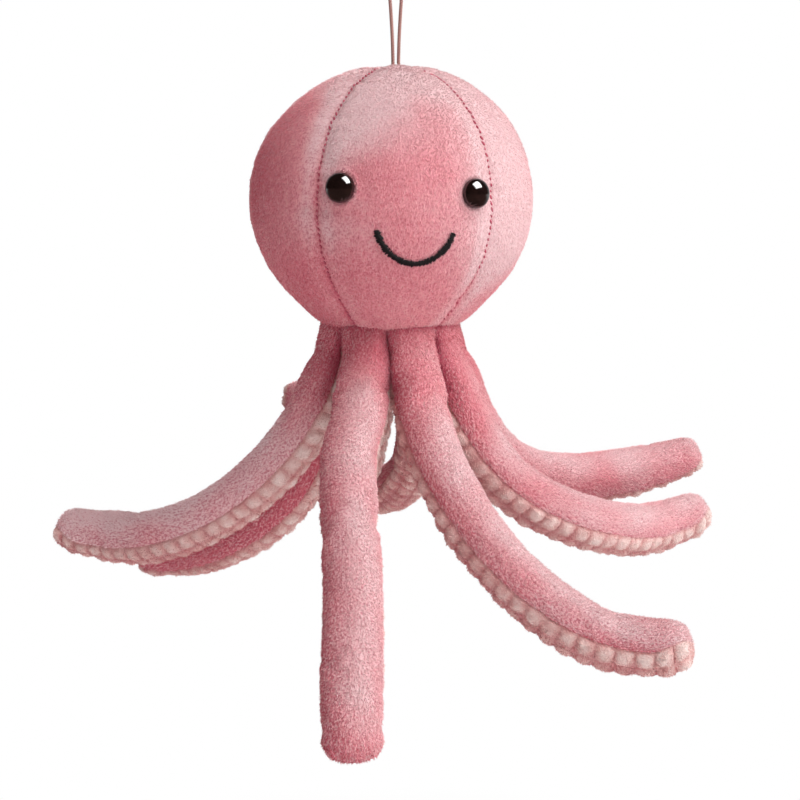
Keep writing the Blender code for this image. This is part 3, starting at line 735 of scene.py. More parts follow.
def loop_route():
    corners = [Vector((x, 0, z)) * LOOP_HEIGHT for x, z in LOOP_ROUTE_SHARES]
    route = []
    for first in range(len(corners) - 1):
        for k in range(ROUTE_FINE_STEPS):
            route.append(between(corners, first, k / ROUTE_FINE_STEPS))
    route.append(corners[-1])
    return route


def route_length(route):
    return sum((b - a).length for a, b in zip(route, route[1:]))


KNOT_STEPS = 120
KNOT_WIDE = 1.2 * MM
KNOT_HIGH = 1.5 * MM
KNOT_CENTRE = Vector((0, 0, HEAD_TOP - 0.6 * MM - 5.0 * MM - 3.5 * MM))


def knot_route():
    """A trefoil: the plain overhand knot that keeps the doubled cord inside the head."""
    points = []
    for k in range(KNOT_STEPS):
        t = 2 * math.pi * k / KNOT_STEPS
        x = (math.sin(t) + 2 * math.sin(2 * t)) * KNOT_WIDE
        y = (math.cos(t) - 2 * math.cos(2 * t)) * KNOT_WIDE
        points.append(KNOT_CENTRE + Vector((x, y, -math.sin(3 * t) * KNOT_HIGH)))
    return points


route = loop_route()
loop = grow(line_object("hanging_loop_cord", route), twisted_cord,
            {"Radius": CORD_RADIUS, "Lay": CORD_LAY, "Step": 0.35 * MM, "Finish": cord_finish})
knot = grow(line_object("loop_knot_cord", knot_route(), closed=True), twisted_cord,
            {"Radius": CORD_RADIUS, "Lay": CORD_LAY, "Step": 0.45 * MM, "Finish": cord_finish})
for piece in (loop, knot):
    piece.data.shade_smooth()
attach(loop, "loop")
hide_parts("hanging_loop")
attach(knot, "head")
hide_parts("loop_knot")
print("loop:", round(route_length(route) / MM, 1), "mm of cord,", len(loop.data.polygons), "faces")

# %% [markdown]
# ## The shape of the head
#
# The head is a ball sewn from six gores. Stuffing swells each gore between its seams and the seam
# thread pulls the cloth into a narrow groove, with a small pucker at every stitch. All of that is
# one function: how far the cloth stands above or below the plain ball at a place on it. Whatever
# is sewn or set on the head asks the same function, so it always sits on the cloth.

# %% The ball and how far the cloth stands off it
FABRIC_THICKNESS = 2.0 * MM
GAP = 0.3 * MM
HEAD_RADIUS = 59.5 * MM
HEAD_HALF_HEIGHT = 56.5 * MM
CROWN_LEAN = 2.3 * MM
NECK_RADIUS = 30.0 * MM
TOP_HOLE_RADIUS = 2.6 * MM
FACE_TURN = math.radians(7.5)
FACE_PANEL_ANGLE = math.radians(74)
SIDE_PANEL_ANGLE = (math.pi - FACE_PANEL_ANGLE) / 2
HEAD_CENTRE = Vector((-CROWN_LEAN, 0, HEAD_TOP - HEAD_HALF_HEIGHT))
STITCH_PITCH = 2.6 * MM
EYE_HEIGHT_ON_HEAD = 5.4 * MM
EYE_SPREAD = math.radians(26.6)
FACE_ROLL = math.radians(2.5)


def head_point(turn, height, inset=0.0):
    """The point of the head's ball at an angle round it and a height over its centre."""
    half_height = HEAD_HALF_HEIGHT - inset
    radius = (HEAD_RADIUS - inset) * math.sqrt(max(0.0, 1 - (height / half_height) ** 2))
    lean = CROWN_LEAN * (max(height, 0.0) / half_height) ** 2
    return HEAD_CENTRE + Vector((radius * math.sin(turn) + lean, -radius * math.cos(turn), height))


def head_normal(point):
    off = point - HEAD_CENTRE
    return Vector((off.x / HEAD_RADIUS ** 2, off.y / HEAD_RADIUS ** 2,
                   off.z / HEAD_HALF_HEIGHT ** 2)).normalized()


def face_place(turn_off, height):
    """A point of the face after the whole face is rolled a little about its middle."""
    across = HEAD_RADIUS * turn_off
    rolled_across = across * math.cos(FACE_ROLL) + height * math.sin(FACE_ROLL)
    rolled_height = height * math.cos(FACE_ROLL) - across * math.sin(FACE_ROLL)
    return head_point(FACE_TURN + rolled_across / HEAD_RADIUS, rolled_height)


NECK_Z = HEAD_CENTRE.z - HEAD_HALF_HEIGHT * math.sqrt(1 - (NECK_RADIUS / HEAD_RADIUS) ** 2)
EYE_SEATS = {"left": face_place(-EYE_SPREAD, EYE_HEIGHT_ON_HEAD),
             "right": face_place(EYE_SPREAD, EYE_HEIGHT_ON_HEAD)}
HALF_FACE = FACE_PANEL_ANGLE / 2
GORES = {
    "head_front_panel": (FACE_TURN, HALF_FACE),
    "head_back_panel": (FACE_TURN + math.pi, HALF_FACE),
    "head_front_left_panel": (FACE_TURN - HALF_FACE - SIDE_PANEL_ANGLE / 2, SIDE_PANEL_ANGLE / 2),
    "head_back_left_panel": (FACE_TURN - HALF_FACE - SIDE_PANEL_ANGLE * 1.5, SIDE_PANEL_ANGLE / 2),
    "head_front_right_panel": (FACE_TURN + HALF_FACE + SIDE_PANEL_ANGLE / 2, SIDE_PANEL_ANGLE / 2),
    "head_back_right_panel": (FACE_TURN + HALF_FACE + SIDE_PANEL_ANGLE * 1.5, SIDE_PANEL_ANGLE / 2),
}
SEAM_TURNS = sorted({round((middle + half) % (2 * math.pi), 6) for middle, half in GORES.values()})


def bell(distance, width):
    return math.exp(-(distance / width) ** 2)


def bells(distances, width):
    return np.exp(-(distances / width) ** 2)


def wrapped(angle):
    """An angle, or an array of them, taken to between half a turn back and half a turn on."""
    return (angle + math.pi) % (2 * math.pi) - math.pi


print("seams at", [round(math.degrees(turn)) for turn in SEAM_TURNS], "degrees round the head")

# %% [markdown]
# ## Letting the stuffing press the cloth out
#
# Where cloth swells, puckers and creases is decided by stuffing that pushes from inside, seams that
# hold and a cut that is a little larger than what it wraps. So it is simulated. A coarse grid of
# the skin gets Blender's Cloth with pressure and no gravity, its seams are held by a vertex group,
# and its rest shape may be the flat cut. It runs at ten times the size, where the usual stiffness
# values behave. What is kept is how far each point went in or out, capped, as a small table that
# the fine surfaces then ask, with a smooth curve run between its points.

# %% Helpers for the cloth simulation
CLOTH_SCALE = 10.0
CLOTH_STEPS = 20
CLOTH_CAP = 1.4 * MM
CLOTH_LOOSENESS = 0.05


def coarse_cloth(name, points, held, cut=None):
    """A closed coarse skin of rings by points, with its pressure, ready to be stepped."""
    rings, count = points.shape[:2]
    faces = grid_faces(rings, count, round_closed=True)
    faces += [list(range(count))[::-1], list(range((rings - 1) * count, rings * count))]
    skin = mesh_object(name, points.reshape(-1, 3) * CLOTH_SCALE, faces, {})
    group = skin.vertex_groups.new(name="held")
    for index, weight in enumerate(held.ravel()):
        group.add([index], float(weight), "REPLACE")
    stuffing = skin.modifiers.new("stuffing", "CLOTH")
    rules = stuffing.settings
    if cut is not None:
        skin.shape_key_add(name="posed")
        flat_cut = skin.shape_key_add(name="cut")
        flat_cut.data.foreach_set("co", (cut * CLOTH_SCALE).ravel())
        rules.rest_shape_key = flat_cut
    rules.quality = 6
    rules.mass = 0.3
    rules.air_damping = 2.0
    rules.tension_stiffness = 15.0
    rules.compression_stiffness = 15.0
    rules.shear_stiffness = 6.0
    rules.bending_stiffness = 0.5
    rules.vertex_group_mass = "held"
    rules.shrink_min = -CLOTH_LOOSENESS
    rules.use_pressure = True
    rules.uniform_pressure_force = 4.0
    rules.effector_weights.gravity = 0.0
    stuffing.collision_settings.use_collision = False
    return skin


def step_cloths(skins):
    """Steps all the skins at once and gives each one's points after the last step."""
    scene = bpy.context.scene
    for step in range(1, CLOTH_STEPS + 1):
        scene.frame_set(step)
    graph = bpy.context.evaluated_depsgraph_get()
    results = []
    for skin, shape in skins:
        settled = skin.evaluated_get(graph).data
        found = np.empty(len(settled.vertices) * 3)
        settled.vertices.foreach_get("co", found)
        results.append(found.reshape(shape) / CLOTH_SCALE)
    for skin, _ in skins:
        mesh = skin.data
        bpy.data.objects.remove(skin)
        bpy.data.meshes.remove(mesh)
    scene.frame_set(1)
    return results


def curve_shares(t):
    """How much each of four neighbours counts on a smooth curve between the middle two."""
    return (-0.5 * t ** 3 + t * t - 0.5 * t, 1.5 * t ** 3 - 2.5 * t * t + 1,
            -1.5 * t ** 3 + 2 * t * t + 0.5 * t, 0.5 * t ** 3 - 0.5 * t * t)


def ask_table(table, row, column):
    """The table's value at a place between its rows and, closed round, its columns."""
    rows, count = len(table), len(table[0])
    first, left = math.floor(row), math.floor(column)
    down, over = curve_shares(row - first), curve_shares(column - left)
    value = 0.0
    for k in range(4):
        line = table[min(max(first - 1 + k, 0), rows - 1)]
        value += down[k] * sum(over[m] * line[(left - 1 + m) % count] for m in range(4))
    return value


# %% Simulate the head's swelling
HEAD_TABLE_ROWS = 52
HEAD_SWELL_SHARE = 0.42
GORE_COLUMNS = 16
TOP_TILT = math.acos(TOP_HOLE_RADIUS / HEAD_RADIUS)
LOW_TILT = -math.acos(NECK_RADIUS / HEAD_RADIUS)


def simulate_head():
    turns, seams = [], SEAM_TURNS + [SEAM_TURNS[0] + 2 * math.pi]
    for start, end in zip(seams, seams[1:]):
        turns += [start + (end - start) * i / GORE_COLUMNS for i in range(GORE_COLUMNS)]
    points = np.zeros((HEAD_TABLE_ROWS + 1, len(turns), 3))
    out = points.copy()
    held = np.full(points.shape[:2], 0.02)
    for row in range(HEAD_TABLE_ROWS + 1):
        tilt = TOP_TILT + (LOW_TILT - TOP_TILT) * row / HEAD_TABLE_ROWS
        for i, turn in enumerate(turns):
            point = head_point(turn, HEAD_HALF_HEIGHT * math.sin(tilt))
            points[row, i] = point
            out[row, i] = head_normal(point)
            if i % GORE_COLUMNS == 0:
                held[row, i] = 0.6
            for seat in EYE_SEATS.values():
                held[row, i] = max(held[row, i], 0.9 * bell((point - seat).length, 4 * MM))
    held[[0, 1, -1]] = 1.0
    skin = coarse_cloth("head_trial", points, held)
    settled, = step_cloths([(skin, points.shape)])
    moved = ((settled - points) * out).sum(axis=2)
    print("head cloth went out by", (np.percentile(moved, (1, 50, 99)) / MM).round(2), "mm")
    swell = HEAD_SWELL_SHARE * (moved - np.median(moved)) + 0.35 * MM
    return np.clip(swell, -CLOTH_CAP, CLOTH_CAP).tolist()


head_swell = simulate_head()


def swell_at(turn, tilt):
    """How far the simulation swelled the head at a place."""
    turn = (turn - SEAM_TURNS[0]) % (2 * math.pi) + SEAM_TURNS[0]
    seams = SEAM_TURNS + [SEAM_TURNS[0] + 2 * math.pi]
    gore = max(i for i in range(len(SEAM_TURNS)) if turn >= seams[i] - 1e-9)
    column = GORE_COLUMNS * (gore + (turn - seams[gore]) / (seams[gore + 1] - seams[gore]))
    row = HEAD_TABLE_ROWS * (TOP_TILT - tilt) / (TOP_TILT - LOW_TILT)
    return ask_table(head_swell, row, column)


# %% How far the head's cloth stands off the ball
def cloth_stand(turn, tilt):
    """How far the cloth stands out from the plain ball, in metres, less than zero in a groove."""
    radius = HEAD_RADIUS * math.cos(tilt)
    height = HEAD_HALF_HEIGHT * math.sin(tilt)
    point = head_point(turn, height)
    off_seam = min(abs(wrapped(turn - seam)) for seam in SEAM_TURNS)
    off_seam = 2 * radius * math.sin(off_seam / 2)
    stand = swell_at(turn, tilt) + 0.3 * MM * (1 - bell(off_seam, 7 * MM))
    stand -= 0.4 * MM * bell(off_seam, 0.9 * MM) + 0.45 * MM * bell(off_seam, 3.2 * MM)
    along = HEAD_RADIUS * tilt / STITCH_PITCH
    stand -= 0.22 * MM * bell(off_seam, 2.4 * MM) * math.cos(2 * math.pi * along)
    stand += 0.55 * MM * noise.noise(point / (26 * MM)) + 0.22 * MM * noise.noise(point / (9 * MM))
    for seat in EYE_SEATS.values():
        away = (point - seat).length
        stand += 0.85 * MM * bell(away - 6.9 * MM, 1.3 * MM) - 0.8 * MM * bell(away, 11 * MM)
    stand -= 1.6 * MM * bell(TOP_HOLE_RADIUS - radius, 3.0 * MM) if tilt > 0 else 0.0
    return stand


NECK_DROP = 3.7 * MM


def cloth_place(turn, tilt, above=0.0):
    """The point of the cloth at a place on the head, and the way it faces there.

    Towards the neck the weight of the arms draws the ball down over the disc.
    """
    point = head_point(turn, HEAD_HALF_HEIGHT * math.sin(tilt))
    out = head_normal(point)
    radius = HEAD_RADIUS * math.cos(tilt)
    level = Vector((math.sin(turn), -math.cos(turn), 0))
    if tilt < 0:
        down = min(max((NECK_RADIUS + 13 * MM - radius) / (13 * MM), 0.0), 1.0)
        point = point - Vector((0, 0, NECK_DROP * down * down * (2.2 - 1.2 * down)))
        tuck = 0.8 * MM * down ** 4 + 1.3 * MM * bell(radius - NECK_RADIUS, 0.6 * MM)
        point = point - level * tuck
        out = (out + level * 0.9 * down).normalized()
    return point + out * (cloth_stand(turn, tilt) + above), out


print("cloth at the crown stands", round(cloth_stand(0.0, 1.2) / MM, 2), "mm off the ball")

# %% [markdown]
# ## The gores
#
# Each gore is a grid from the hole at the crown down to the neck. Its cells are under a millimetre,
# fine enough for the nap tree to raise real clumps. Solidify then gives the cloth its thickness
# inwards. The front gore has a small hole under each eye, where the shank goes through.

# %% Brush marks and painted light on the head
# Marks that are partly stroked pile and partly painted light and shade.
BRUSH_AND_LIGHT_MARKS = [
    (-22, 42, 15, 0.36), (-26, 24, 14, 0.2), (-12, 30, 16, 0.08), (8, 54, 18, 0.8),
    (24, 28, 17, -0.12), (22, 6, 16, -0.06), (55, 6, 15, 0.36), (60, -18, 20, 0.55),
    (48, 24, 10, 0.2), (-36, -4, 12, 0.16), (-22, -14, 13, 0.14), (-58, 30, 17, -0.12),
    (-70, 6, 18, -0.22), (-60, -22, 18, 0.02), (4, -38, 18, 0.06), (-5, 10, 12, -0.08),
    (140, 20, 26, 0.25), (200, -10, 24, -0.25), (250, 30, 20, 0.25), (170, -30, 20, 0.15),
]


def brush_and_light_strength(points):
    """How much lighter or darker the pile is painted at points of the head: stroked pile, with
    painted light on the right side and crown, towards the key lamp, and painted shade on the left.

    A mark is (degrees round the head, mm over its centre, mm across, how much).
    """
    strength = np.zeros(len(points))
    for turn, height, across, much in BRUSH_AND_LIGHT_MARKS:
        spot = np.array(head_point(math.radians(turn), height * MM))
        away = np.linalg.norm(points - spot, axis=1)
        strength += much * bells(away, across * MM)
    middle = np.array(HEAD_CENTRE)
    turn = np.arctan2(points[:, 0] - middle[0], middle[1] - points[:, 1])
    radius = np.hypot(points[:, 0] - middle[0], points[:, 1] - middle[1])
    # Beside each seam a painted highlight on the raised cloth and painted shade in the groove.
    for seam in SEAM_TURNS:
        off = np.abs(2 * radius * np.sin((turn - seam) / 2))
        strength += 0.16 * bells(off - 4.5 * MM, 3.5 * MM)
        strength -= 0.16 * bells(off, 1.2 * MM)
    return strength


def brushed_down(rise):
    """The way the pile lies on the head: straight down, as far as the cloth's slope allows."""
    down = np.array((0.0, 0.0, -1.0))
    return unit(down - rise * (rise @ down)[:, None])


# %% Cut and shape the six gores
CLOTH_CELL = 0.95 * MM
HEAD_CLOTH = 1.2 * MM
SHANK_HOLE = 2.6 * MM


def head_gore(name, middle, half_angle):
    """One gore's open skin, with a hole for each shank if it carries the face."""
    columns = round(2 * half_angle * HEAD_RADIUS / CLOTH_CELL)
    rows = round((TOP_TILT - LOW_TILT) * HEAD_RADIUS / CLOTH_CELL)
    points, rise = [], []
    for row in range(rows + 1):
        tilt = TOP_TILT + (LOW_TILT - TOP_TILT) * row / rows
        for i in range(columns + 1):
            turn = middle + half_angle * (2 * i / columns - 1)
            point, out = cloth_place(turn, tilt)
            points.append(point)
            rise.append(out)
    points, rise = np.array(points), np.array(rise)
    faces = grid_faces(rows + 1, columns + 1, round_closed=False)
    if name == "head_front_panel":
        centres = points[np.array(faces)].mean(axis=1)
        for seat in EYE_SEATS.values():
            away = np.linalg.norm(centres - np.array(seat), axis=1)
            keep = away > SHANK_HOLE
            faces = [face for face, kept in zip(faces, keep) if kept]
            centres = centres[keep]
    mesh = bpy.data.meshes.new(name)
    mesh.from_pydata(points.tolist(), [], faces)
    for label, values in (("cloth", points), ("rise", rise), ("lay", brushed_down(rise)),
                          ("brush", brush_and_light_strength(points))):
        keep_on_points(mesh, label, values)
    mesh.flip_normals()
    gore = add_object(name + "_plush", mesh)
    work = bmesh.new()
    work.from_mesh(mesh)
    loose = [v for v in work.verts if not v.link_faces]
    bmesh.ops.delete(work, geom=loose, context="VERTS")
    work.to_mesh(mesh)
    work.free()
    return gore


def set_outward(piece, centre):
    """Turns an open skin's faces away from a centre."""
    mesh = piece.data
    votes = sum((p.center - centre).dot(p.normal) for p in list(mesh.polygons)[::97])
    if votes < 0:
        mesh.flip_normals()


def thicken(piece, thickness):
    """Asks for the cloth's thickness, grown inwards from its face."""
    wall = piece.modifiers.new("cloth", "SOLIDIFY")
    wall.thickness = thickness
    wall.offset = -1.0


def dress(piece, body, nodes=()):
    """Says what a finished piece rides on, and hides the frame's parts that it stands for."""
    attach(piece, body)
    if nodes:
        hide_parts(*nodes)


gore_pieces = []
for name, (middle, half_angle) in GORES.items():
    gore = head_gore(name, middle, half_angle)
    set_outward(gore, HEAD_CENTRE)
    grow(gore, short_nap, {**NAP_SIZES, "Finish": plush})
    thicken(gore, HEAD_CLOTH)
    grow(gore, tufts, {**HEAD_TUFTS, "Finish": plush})
    dress(gore, "head", (name,))
    gore_pieces.append(gore)
print("gores:", sum(len(g.data.polygons) for g in gore_pieces), "faces")

# %% [markdown]
# ## Stitches along the gores' seams
#
# The seam thread shows as short dashes in each groove. A line is laid in the groove, and a tree
# sets one small thread on it at every stitch, lying along the seam.

# %% The stitch tree
def stitch_tree():
    tree, given = new_tree("stitches", {"Pitch": STITCH_PITCH, "Long": 1.7 * MM, "Thick": 0.5 * MM,
                                        "Unevenness": 0.15, "Seed": 3, "Across": 0.0})
    line = node(tree, "GeometryNodeMeshToCurve", {0: given["Geometry"]}).outputs[0]
    spots = node(tree, "GeometryNodeCurveToPoints", {"Curve": line, "Length": given["Pitch"]},
                 mode="LENGTH").outputs
    aim = node(tree, "FunctionNodeAxesToRotation",
               {0: stored_vector(tree, "rise"), 1: spots["Tangent"]},
               primary_axis="Z", secondary_axis="X").outputs[0]
    uneven = calculate(tree, "MULTIPLY", chance(tree, given["Seed"], -1.0, 1.0),
                       given["Unevenness"])
    swing = calculate(tree, "ADD", calculate(tree, "MULTIPLY", uneven, 0.8), given["Across"])
    spin = node(tree, "FunctionNodeAxisAngleToRotation",
                {"Axis": (0, 0, 1), "Angle": swing}).outputs[0]
    turned = node(tree, "FunctionNodeRotateRotation", {0: aim, 1: spin},
                  rotation_space="LOCAL").outputs[0]
    shape = node(tree, "GeometryNodeMeshUVSphere", {"Segments": 8, "Rings": 6, "Radius": 0.5})
    long = calculate(tree, "MULTIPLY", given["Long"], calculate(tree, "ADD", uneven, 1.0))
    set_on = node(tree, "GeometryNodeInstanceOnPoints",
                  {"Points": spots["Points"], "Instance": shape.outputs["Mesh"],
                   "Rotation": turned,
                   "Scale": vector_of(tree, long, given["Thick"], given["Thick"])}).outputs[0]
    end_tree(tree, set_on, given)
    return tree


stitches = stitch_tree()
print("stitch tree:", len(stitches.nodes), "nodes")

# %% Sew the six seams
SEAM_STAND = 0.45 * MM
SEAM_STEPS = 240
STITCH_FACES = 48


def seam_line():
    """One line in each groove, from the crown down to the neck."""
    points, rise, edges = [], [], []
    top_tilt = math.acos(2 * TOP_HOLE_RADIUS / HEAD_RADIUS)
    low_tilt = -math.acos((NECK_RADIUS + 0.6 * MM) / HEAD_RADIUS)
    for seam in SEAM_TURNS:
        for k in range(SEAM_STEPS):
            tilt = top_tilt + (low_tilt - top_tilt) * k / (SEAM_STEPS - 1)
            point, out = cloth_place(seam, tilt, SEAM_STAND)
            if k:
                edges.append((len(points) - 1, len(points)))
            points.append(point)
            rise.append(out)
    mesh = bpy.data.meshes.new("head_seam_stitches")
    mesh.from_pydata([tuple(p) for p in points], edges, [])
    keep_on_points(mesh, "rise", np.array(rise))
    return add_object("head_seam_stitches", mesh)


seam_stitches = grow(seam_line(), stitches, {
    "Pitch": STITCH_PITCH, "Long": 1.9 * MM, "Thick": 0.85 * MM, "Unevenness": 0.4, "Seed": 3,
    "Across": 0.3, "Finish": seam_thread})
seam_stitches.data.shade_smooth()
dress(seam_stitches, "head")
print("seam stitches:", len(seam_stitches.data.polygons) // STITCH_FACES)

# %% [markdown]
# ## The smile
#
# The mouth is satin stitch: threads laid side by side across a curved line, each a little longer
# or shorter than the next, which gives the stroke its finely toothed edge. The same stitch tree
# does it, with the threads turned across the line and set much closer together.

# %% Sew the smile
SMILE_RADIUS = 15.8 * MM
SMILE_CENTRE_BELOW = 6.9 * MM
SMILE_HALF_ANGLE = math.radians(77)
SMILE_TURN = math.radians(10)
SMILE_WIDTH = 2.9 * MM
SMILE_STAND = 0.7 * MM
SMILE_STEPS = 120


def smile_line():
    points, rise = [], []
    for k in range(SMILE_STEPS + 1):
        sweep = SMILE_HALF_ANGLE * (2 * k / SMILE_STEPS - 1)
        across = SMILE_RADIUS * math.sin(sweep)
        height = -SMILE_CENTRE_BELOW - SMILE_RADIUS * math.cos(sweep)
        height -= across * math.sin(FACE_ROLL)
        turn = SMILE_TURN + across / HEAD_RADIUS
        point, out = cloth_place(turn, math.asin(height / HEAD_HALF_HEIGHT), SMILE_STAND)
        points.append(point)
        rise.append(out)
    made = line_object("mouth_satin", points)
    keep_on_points(made.data, "rise", np.array(rise))
    return made


smile = grow(smile_line(), stitches, {
    "Pitch": 0.66 * MM, "Long": SMILE_WIDTH, "Thick": 1.0 * MM, "Unevenness": 0.3, "Seed": 8,
    "Across": math.pi / 2, "Finish": smile_thread})
smile.data.shade_smooth()
dress(smile, "head", ("mouth_stitching",))
print("smile:", len(smile.data.polygons) // STITCH_FACES, "threads")

# %% [markdown]
# ## The safety eyes
#
# A safety eye is one moulded piece: a polished dome, a narrow straight rim, a flat back and a
# ridged shank that a washer locks onto. The solid model has few sides, so the eye is turned again
# here from its profile with many steps, which keeps the reflection of the lamp smooth.

# %% Turn the eyes
EYE_RADIUS = 6.0 * MM
EYE_HEIGHT = 5.4 * MM
EYE_EDGE = 0.9 * MM
EYE_SEAT = 0.4 * MM
SHANK_RADIUS = 2.1 * MM
SHANK_LENGTH = 13.0 * MM
SHANK_TAPER = 0.8 * MM
DOME_STEPS = 24
EYE_SIDES = 64


def eye_profile():
    """(radius, height) from the middle of the dome round to the tip of the shank."""
    profile = [(0.0, EYE_SEAT + EYE_HEIGHT)]
    for step in range(1, DOME_STEPS + 1):
        tilt = math.pi / 2 * (1 - step / DOME_STEPS)
        rise = (EYE_HEIGHT - EYE_EDGE) * math.sin(tilt)
        profile.append((EYE_RADIUS * math.cos(tilt), EYE_SEAT + EYE_EDGE + rise))
    profile += [(EYE_RADIUS, EYE_SEAT + 0.3 * MM), (EYE_RADIUS - 0.25 * MM, EYE_SEAT)]
    profile.append((SHANK_RADIUS + 0.3 * MM, EYE_SEAT))
    profile.append((SHANK_RADIUS - 0.1 * MM, EYE_SEAT - 0.3 * MM))
    tip = EYE_SEAT - SHANK_LENGTH
    for ridge in range(6):
        low = -4.0 * MM - ridge * 1.1 * MM
        profile += [(SHANK_RADIUS - 0.25 * MM, low), (SHANK_RADIUS, low - 0.5 * MM)]
    profile += [(SHANK_RADIUS - SHANK_TAPER, tip), (0.0, tip)]
    return profile


def turned_piece(name, profile, seat, sides):
    """A profile turned about its own Z axis, then stood squarely on the head."""
    work = bmesh.new()
    turn = head_normal(seat).to_track_quat("Z", "Y").to_matrix().to_4x4()
    stand = Matrix.Translation(seat) @ turn
    angles = [2 * math.pi * i / sides for i in range(sides)]
    rows = []
    for radius, height in profile:
        ring = [(radius * math.cos(a), radius * math.sin(a), height) for a in angles]
        if radius == 0.0:
            ring = [(0, 0, height)]
        rows.append([work.verts.new(stand @ Vector(place)) for place in ring])
    for upper, lower in zip(rows, rows[1:]):
        for i in range(sides):
            j = (i + 1) % sides
            corners = [upper[i % len(upper)], upper[j % len(upper)], lower[j % len(lower)],
                       lower[i % len(lower)]]
            work.faces.new(list(dict.fromkeys(corners)))
    bmesh.ops.recalc_face_normals(work, faces=work.faces)
    mesh = bpy.data.meshes.new(name)
    work.to_mesh(mesh)
    work.free()
    mesh.shade_smooth()
    mesh.set_sharp_from_angle(angle=math.radians(42))
    return add_object(name, mesh)


for side, seat in EYE_SEATS.items():
    button = turned_piece(f"eye_{side}_dome", eye_profile(), seat, EYE_SIDES)
    button.data.materials.append(eye_finish)
    dress(button, "head", (f"eye_{side}",))
    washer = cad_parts[f"eye_washer_{side}"]
    for holder in washer.material_slots:
        holder.material = washer_finish
print("eyes: 2 domes of", len(button.data.polygons), "faces, washers kept from the frame")

# %% [markdown]
# ## Stuffing and the disc under the neck
#
# Neither shows when the toy hangs, but both are there when it is opened or seen from below. The
# stuffing is a lumpy ball that is pressed in round the eyes' shanks and the loop's knot. The disc
# closes the head between the arms' roots, and its edge is gathered into the neck's seam.

# %% Fill the head and close it
STUFFING_GRID = (64, 96)
DISC_GRID = (24, 96)
DISC_CLOTH = 1.4 * MM


def head_stuffing():
    inset = FABRIC_THICKNESS + 2 * GAP
    top = HEAD_HALF_HEIGHT - inset
    high_tilt = math.radians(88)
    low_tilt = math.asin((NECK_Z - HEAD_CENTRE.z) / top)
    rows, columns = STUFFING_GRID
    points = np.zeros((rows + 1, columns, 3))
    for row in range(rows + 1):
        tilt = high_tilt + (low_tilt - high_tilt) * row / rows
        for i in range(columns):
            point = head_point(2 * math.pi * i / columns, top * math.sin(tilt), inset)
            out = head_normal(point)
            press = 0.9 * MM * (0.6 + noise.noise(point / (7 * MM)))
            for seat in EYE_SEATS.values():
                press += 12 * MM * bell((point - seat).length, 7 * MM)
            press += 13 * MM * bell(math.hypot(point.x, point.y), 6 * MM) if tilt > 0 else 0.0
            points[row, i] = point - out * press
    return capped_tube("head_stuffing", points, points, np.zeros_like(points))


def neck_disc():
    """A round of plush, slightly domed, with its rim gathered by the seam."""
    middle = Vector((HEAD_CENTRE.x, HEAD_CENTRE.y, NECK_Z - GAP))
    rings, sides = DISC_GRID
    points, rise = [], []
    for ring in range(rings + 1):
        radius = (NECK_RADIUS - 1.7 * MM) * (0.02 + 0.98 * ring / rings)
        for i in range(sides):
            a = 2 * math.pi * i / sides
            gather = 0.18 * MM * math.cos(24 * a) * (ring / rings) ** 3
            sag = 0.35 * MM * (1 - (ring / rings) ** 2)
            points.append(middle + Vector((radius * math.sin(a), -radius * math.cos(a),
                                           -1.75 * MM - sag * 0.3 + gather)))
            rise.append((0, 0, -1))
    faces = grid_faces(rings + 1, sides, round_closed=True)
    faces.append(list(range(sides)))
    return mesh_object("base_disc_plush", points, faces, {"cloth": points, "rise": rise})


filling = head_stuffing()
filling.data.materials.append(stuffing_finish)
dress(filling, "head", ("head_filling",))
disc = neck_disc()
set_outward(disc, Vector((0, 0, NECK_Z + 50 * MM)))
grow(disc, short_nap, {**NAP_SIZES, "Finish": plush})
thicken(disc, DISC_CLOTH)
settle(disc)
dress(disc, "head", ("base_disc",))
print("stuffing and disc:", len(filling.data.polygons) + len(disc.data.polygons), "faces")

# %% [markdown]
# ## The course of the arms
#
# All eight arms are cut from one pattern. They differ only in how they were bent before they came
# to rest, which is told by a few angles: at five even stations from root to tip, how far the arm
# leans out from straight down, and how far it has swung sideways. Following those headings in
# small steps gives the arm's centre line.

# %% The arms' sizes and poses
ARM_LENGTH = 196.0 * MM
ARM_RADIUS = 10.7 * MM
ARM_TIP_RADIUS = 11.1 * MM
ARM_ROOT_HALF_THICKNESS = 5.5 * MM
ARM_ROOT_SIDE_GAP = 0.55 * MM
ARM_ROOT_BLEND = 30.0 * MM
ARM_ROOT_SLOPE = math.radians(6)
ARM_TIP_ROUND = 13.0 * MM
ARM_CURVE_STEP = 2.0 * MM
ARM_JOINT_SHARE = 0.5
STRIP_HALF_ANGLE = math.radians(82)
ARM_POSES = {
    "arm_left": (-70, 10, (7, 33, 56, 79, 102), (0, -25, -40, -50, -30)),
    "arm_front_left": (-25, 0, (15, 50, 45, 45, 45), (0, 21, 30, 25, 30)),
    "arm_front_right": (20, 10, (15, 35, 45, 66, 102), (0, 10, 35, 50, 57)),
    "arm_right": (65, -5, (6, 29, 62, 81, 110), (0, 25, 45, 65, 45)),
    "arm_back_right": (110, -45, (8, 32, 74, 92, 107), (0, 10, 16, 11, -15)),
    "arm_rear_right": (155, 0, (10, 31, 57, 84, 110), (0, 23, 43, 42, 40)),
    "arm_rear_left": (-160, 0, (5, 20, 68, 121, 149), (0, 3, -2, -2, 11)),
    "arm_back_left": (-115, 28, (10, 15, 50, 70, 80), (0, 5, -5, -20, 0)),
}
ARM_ROOT_RING = NECK_RADIUS - ARM_ROOT_HALF_THICKNESS
ARM_ROOT_HALF_WIDTH = ARM_ROOT_RING * math.tan(math.pi / len(ARM_POSES)) - ARM_ROOT_SIDE_GAP
UP = Vector((0, 0, 1))


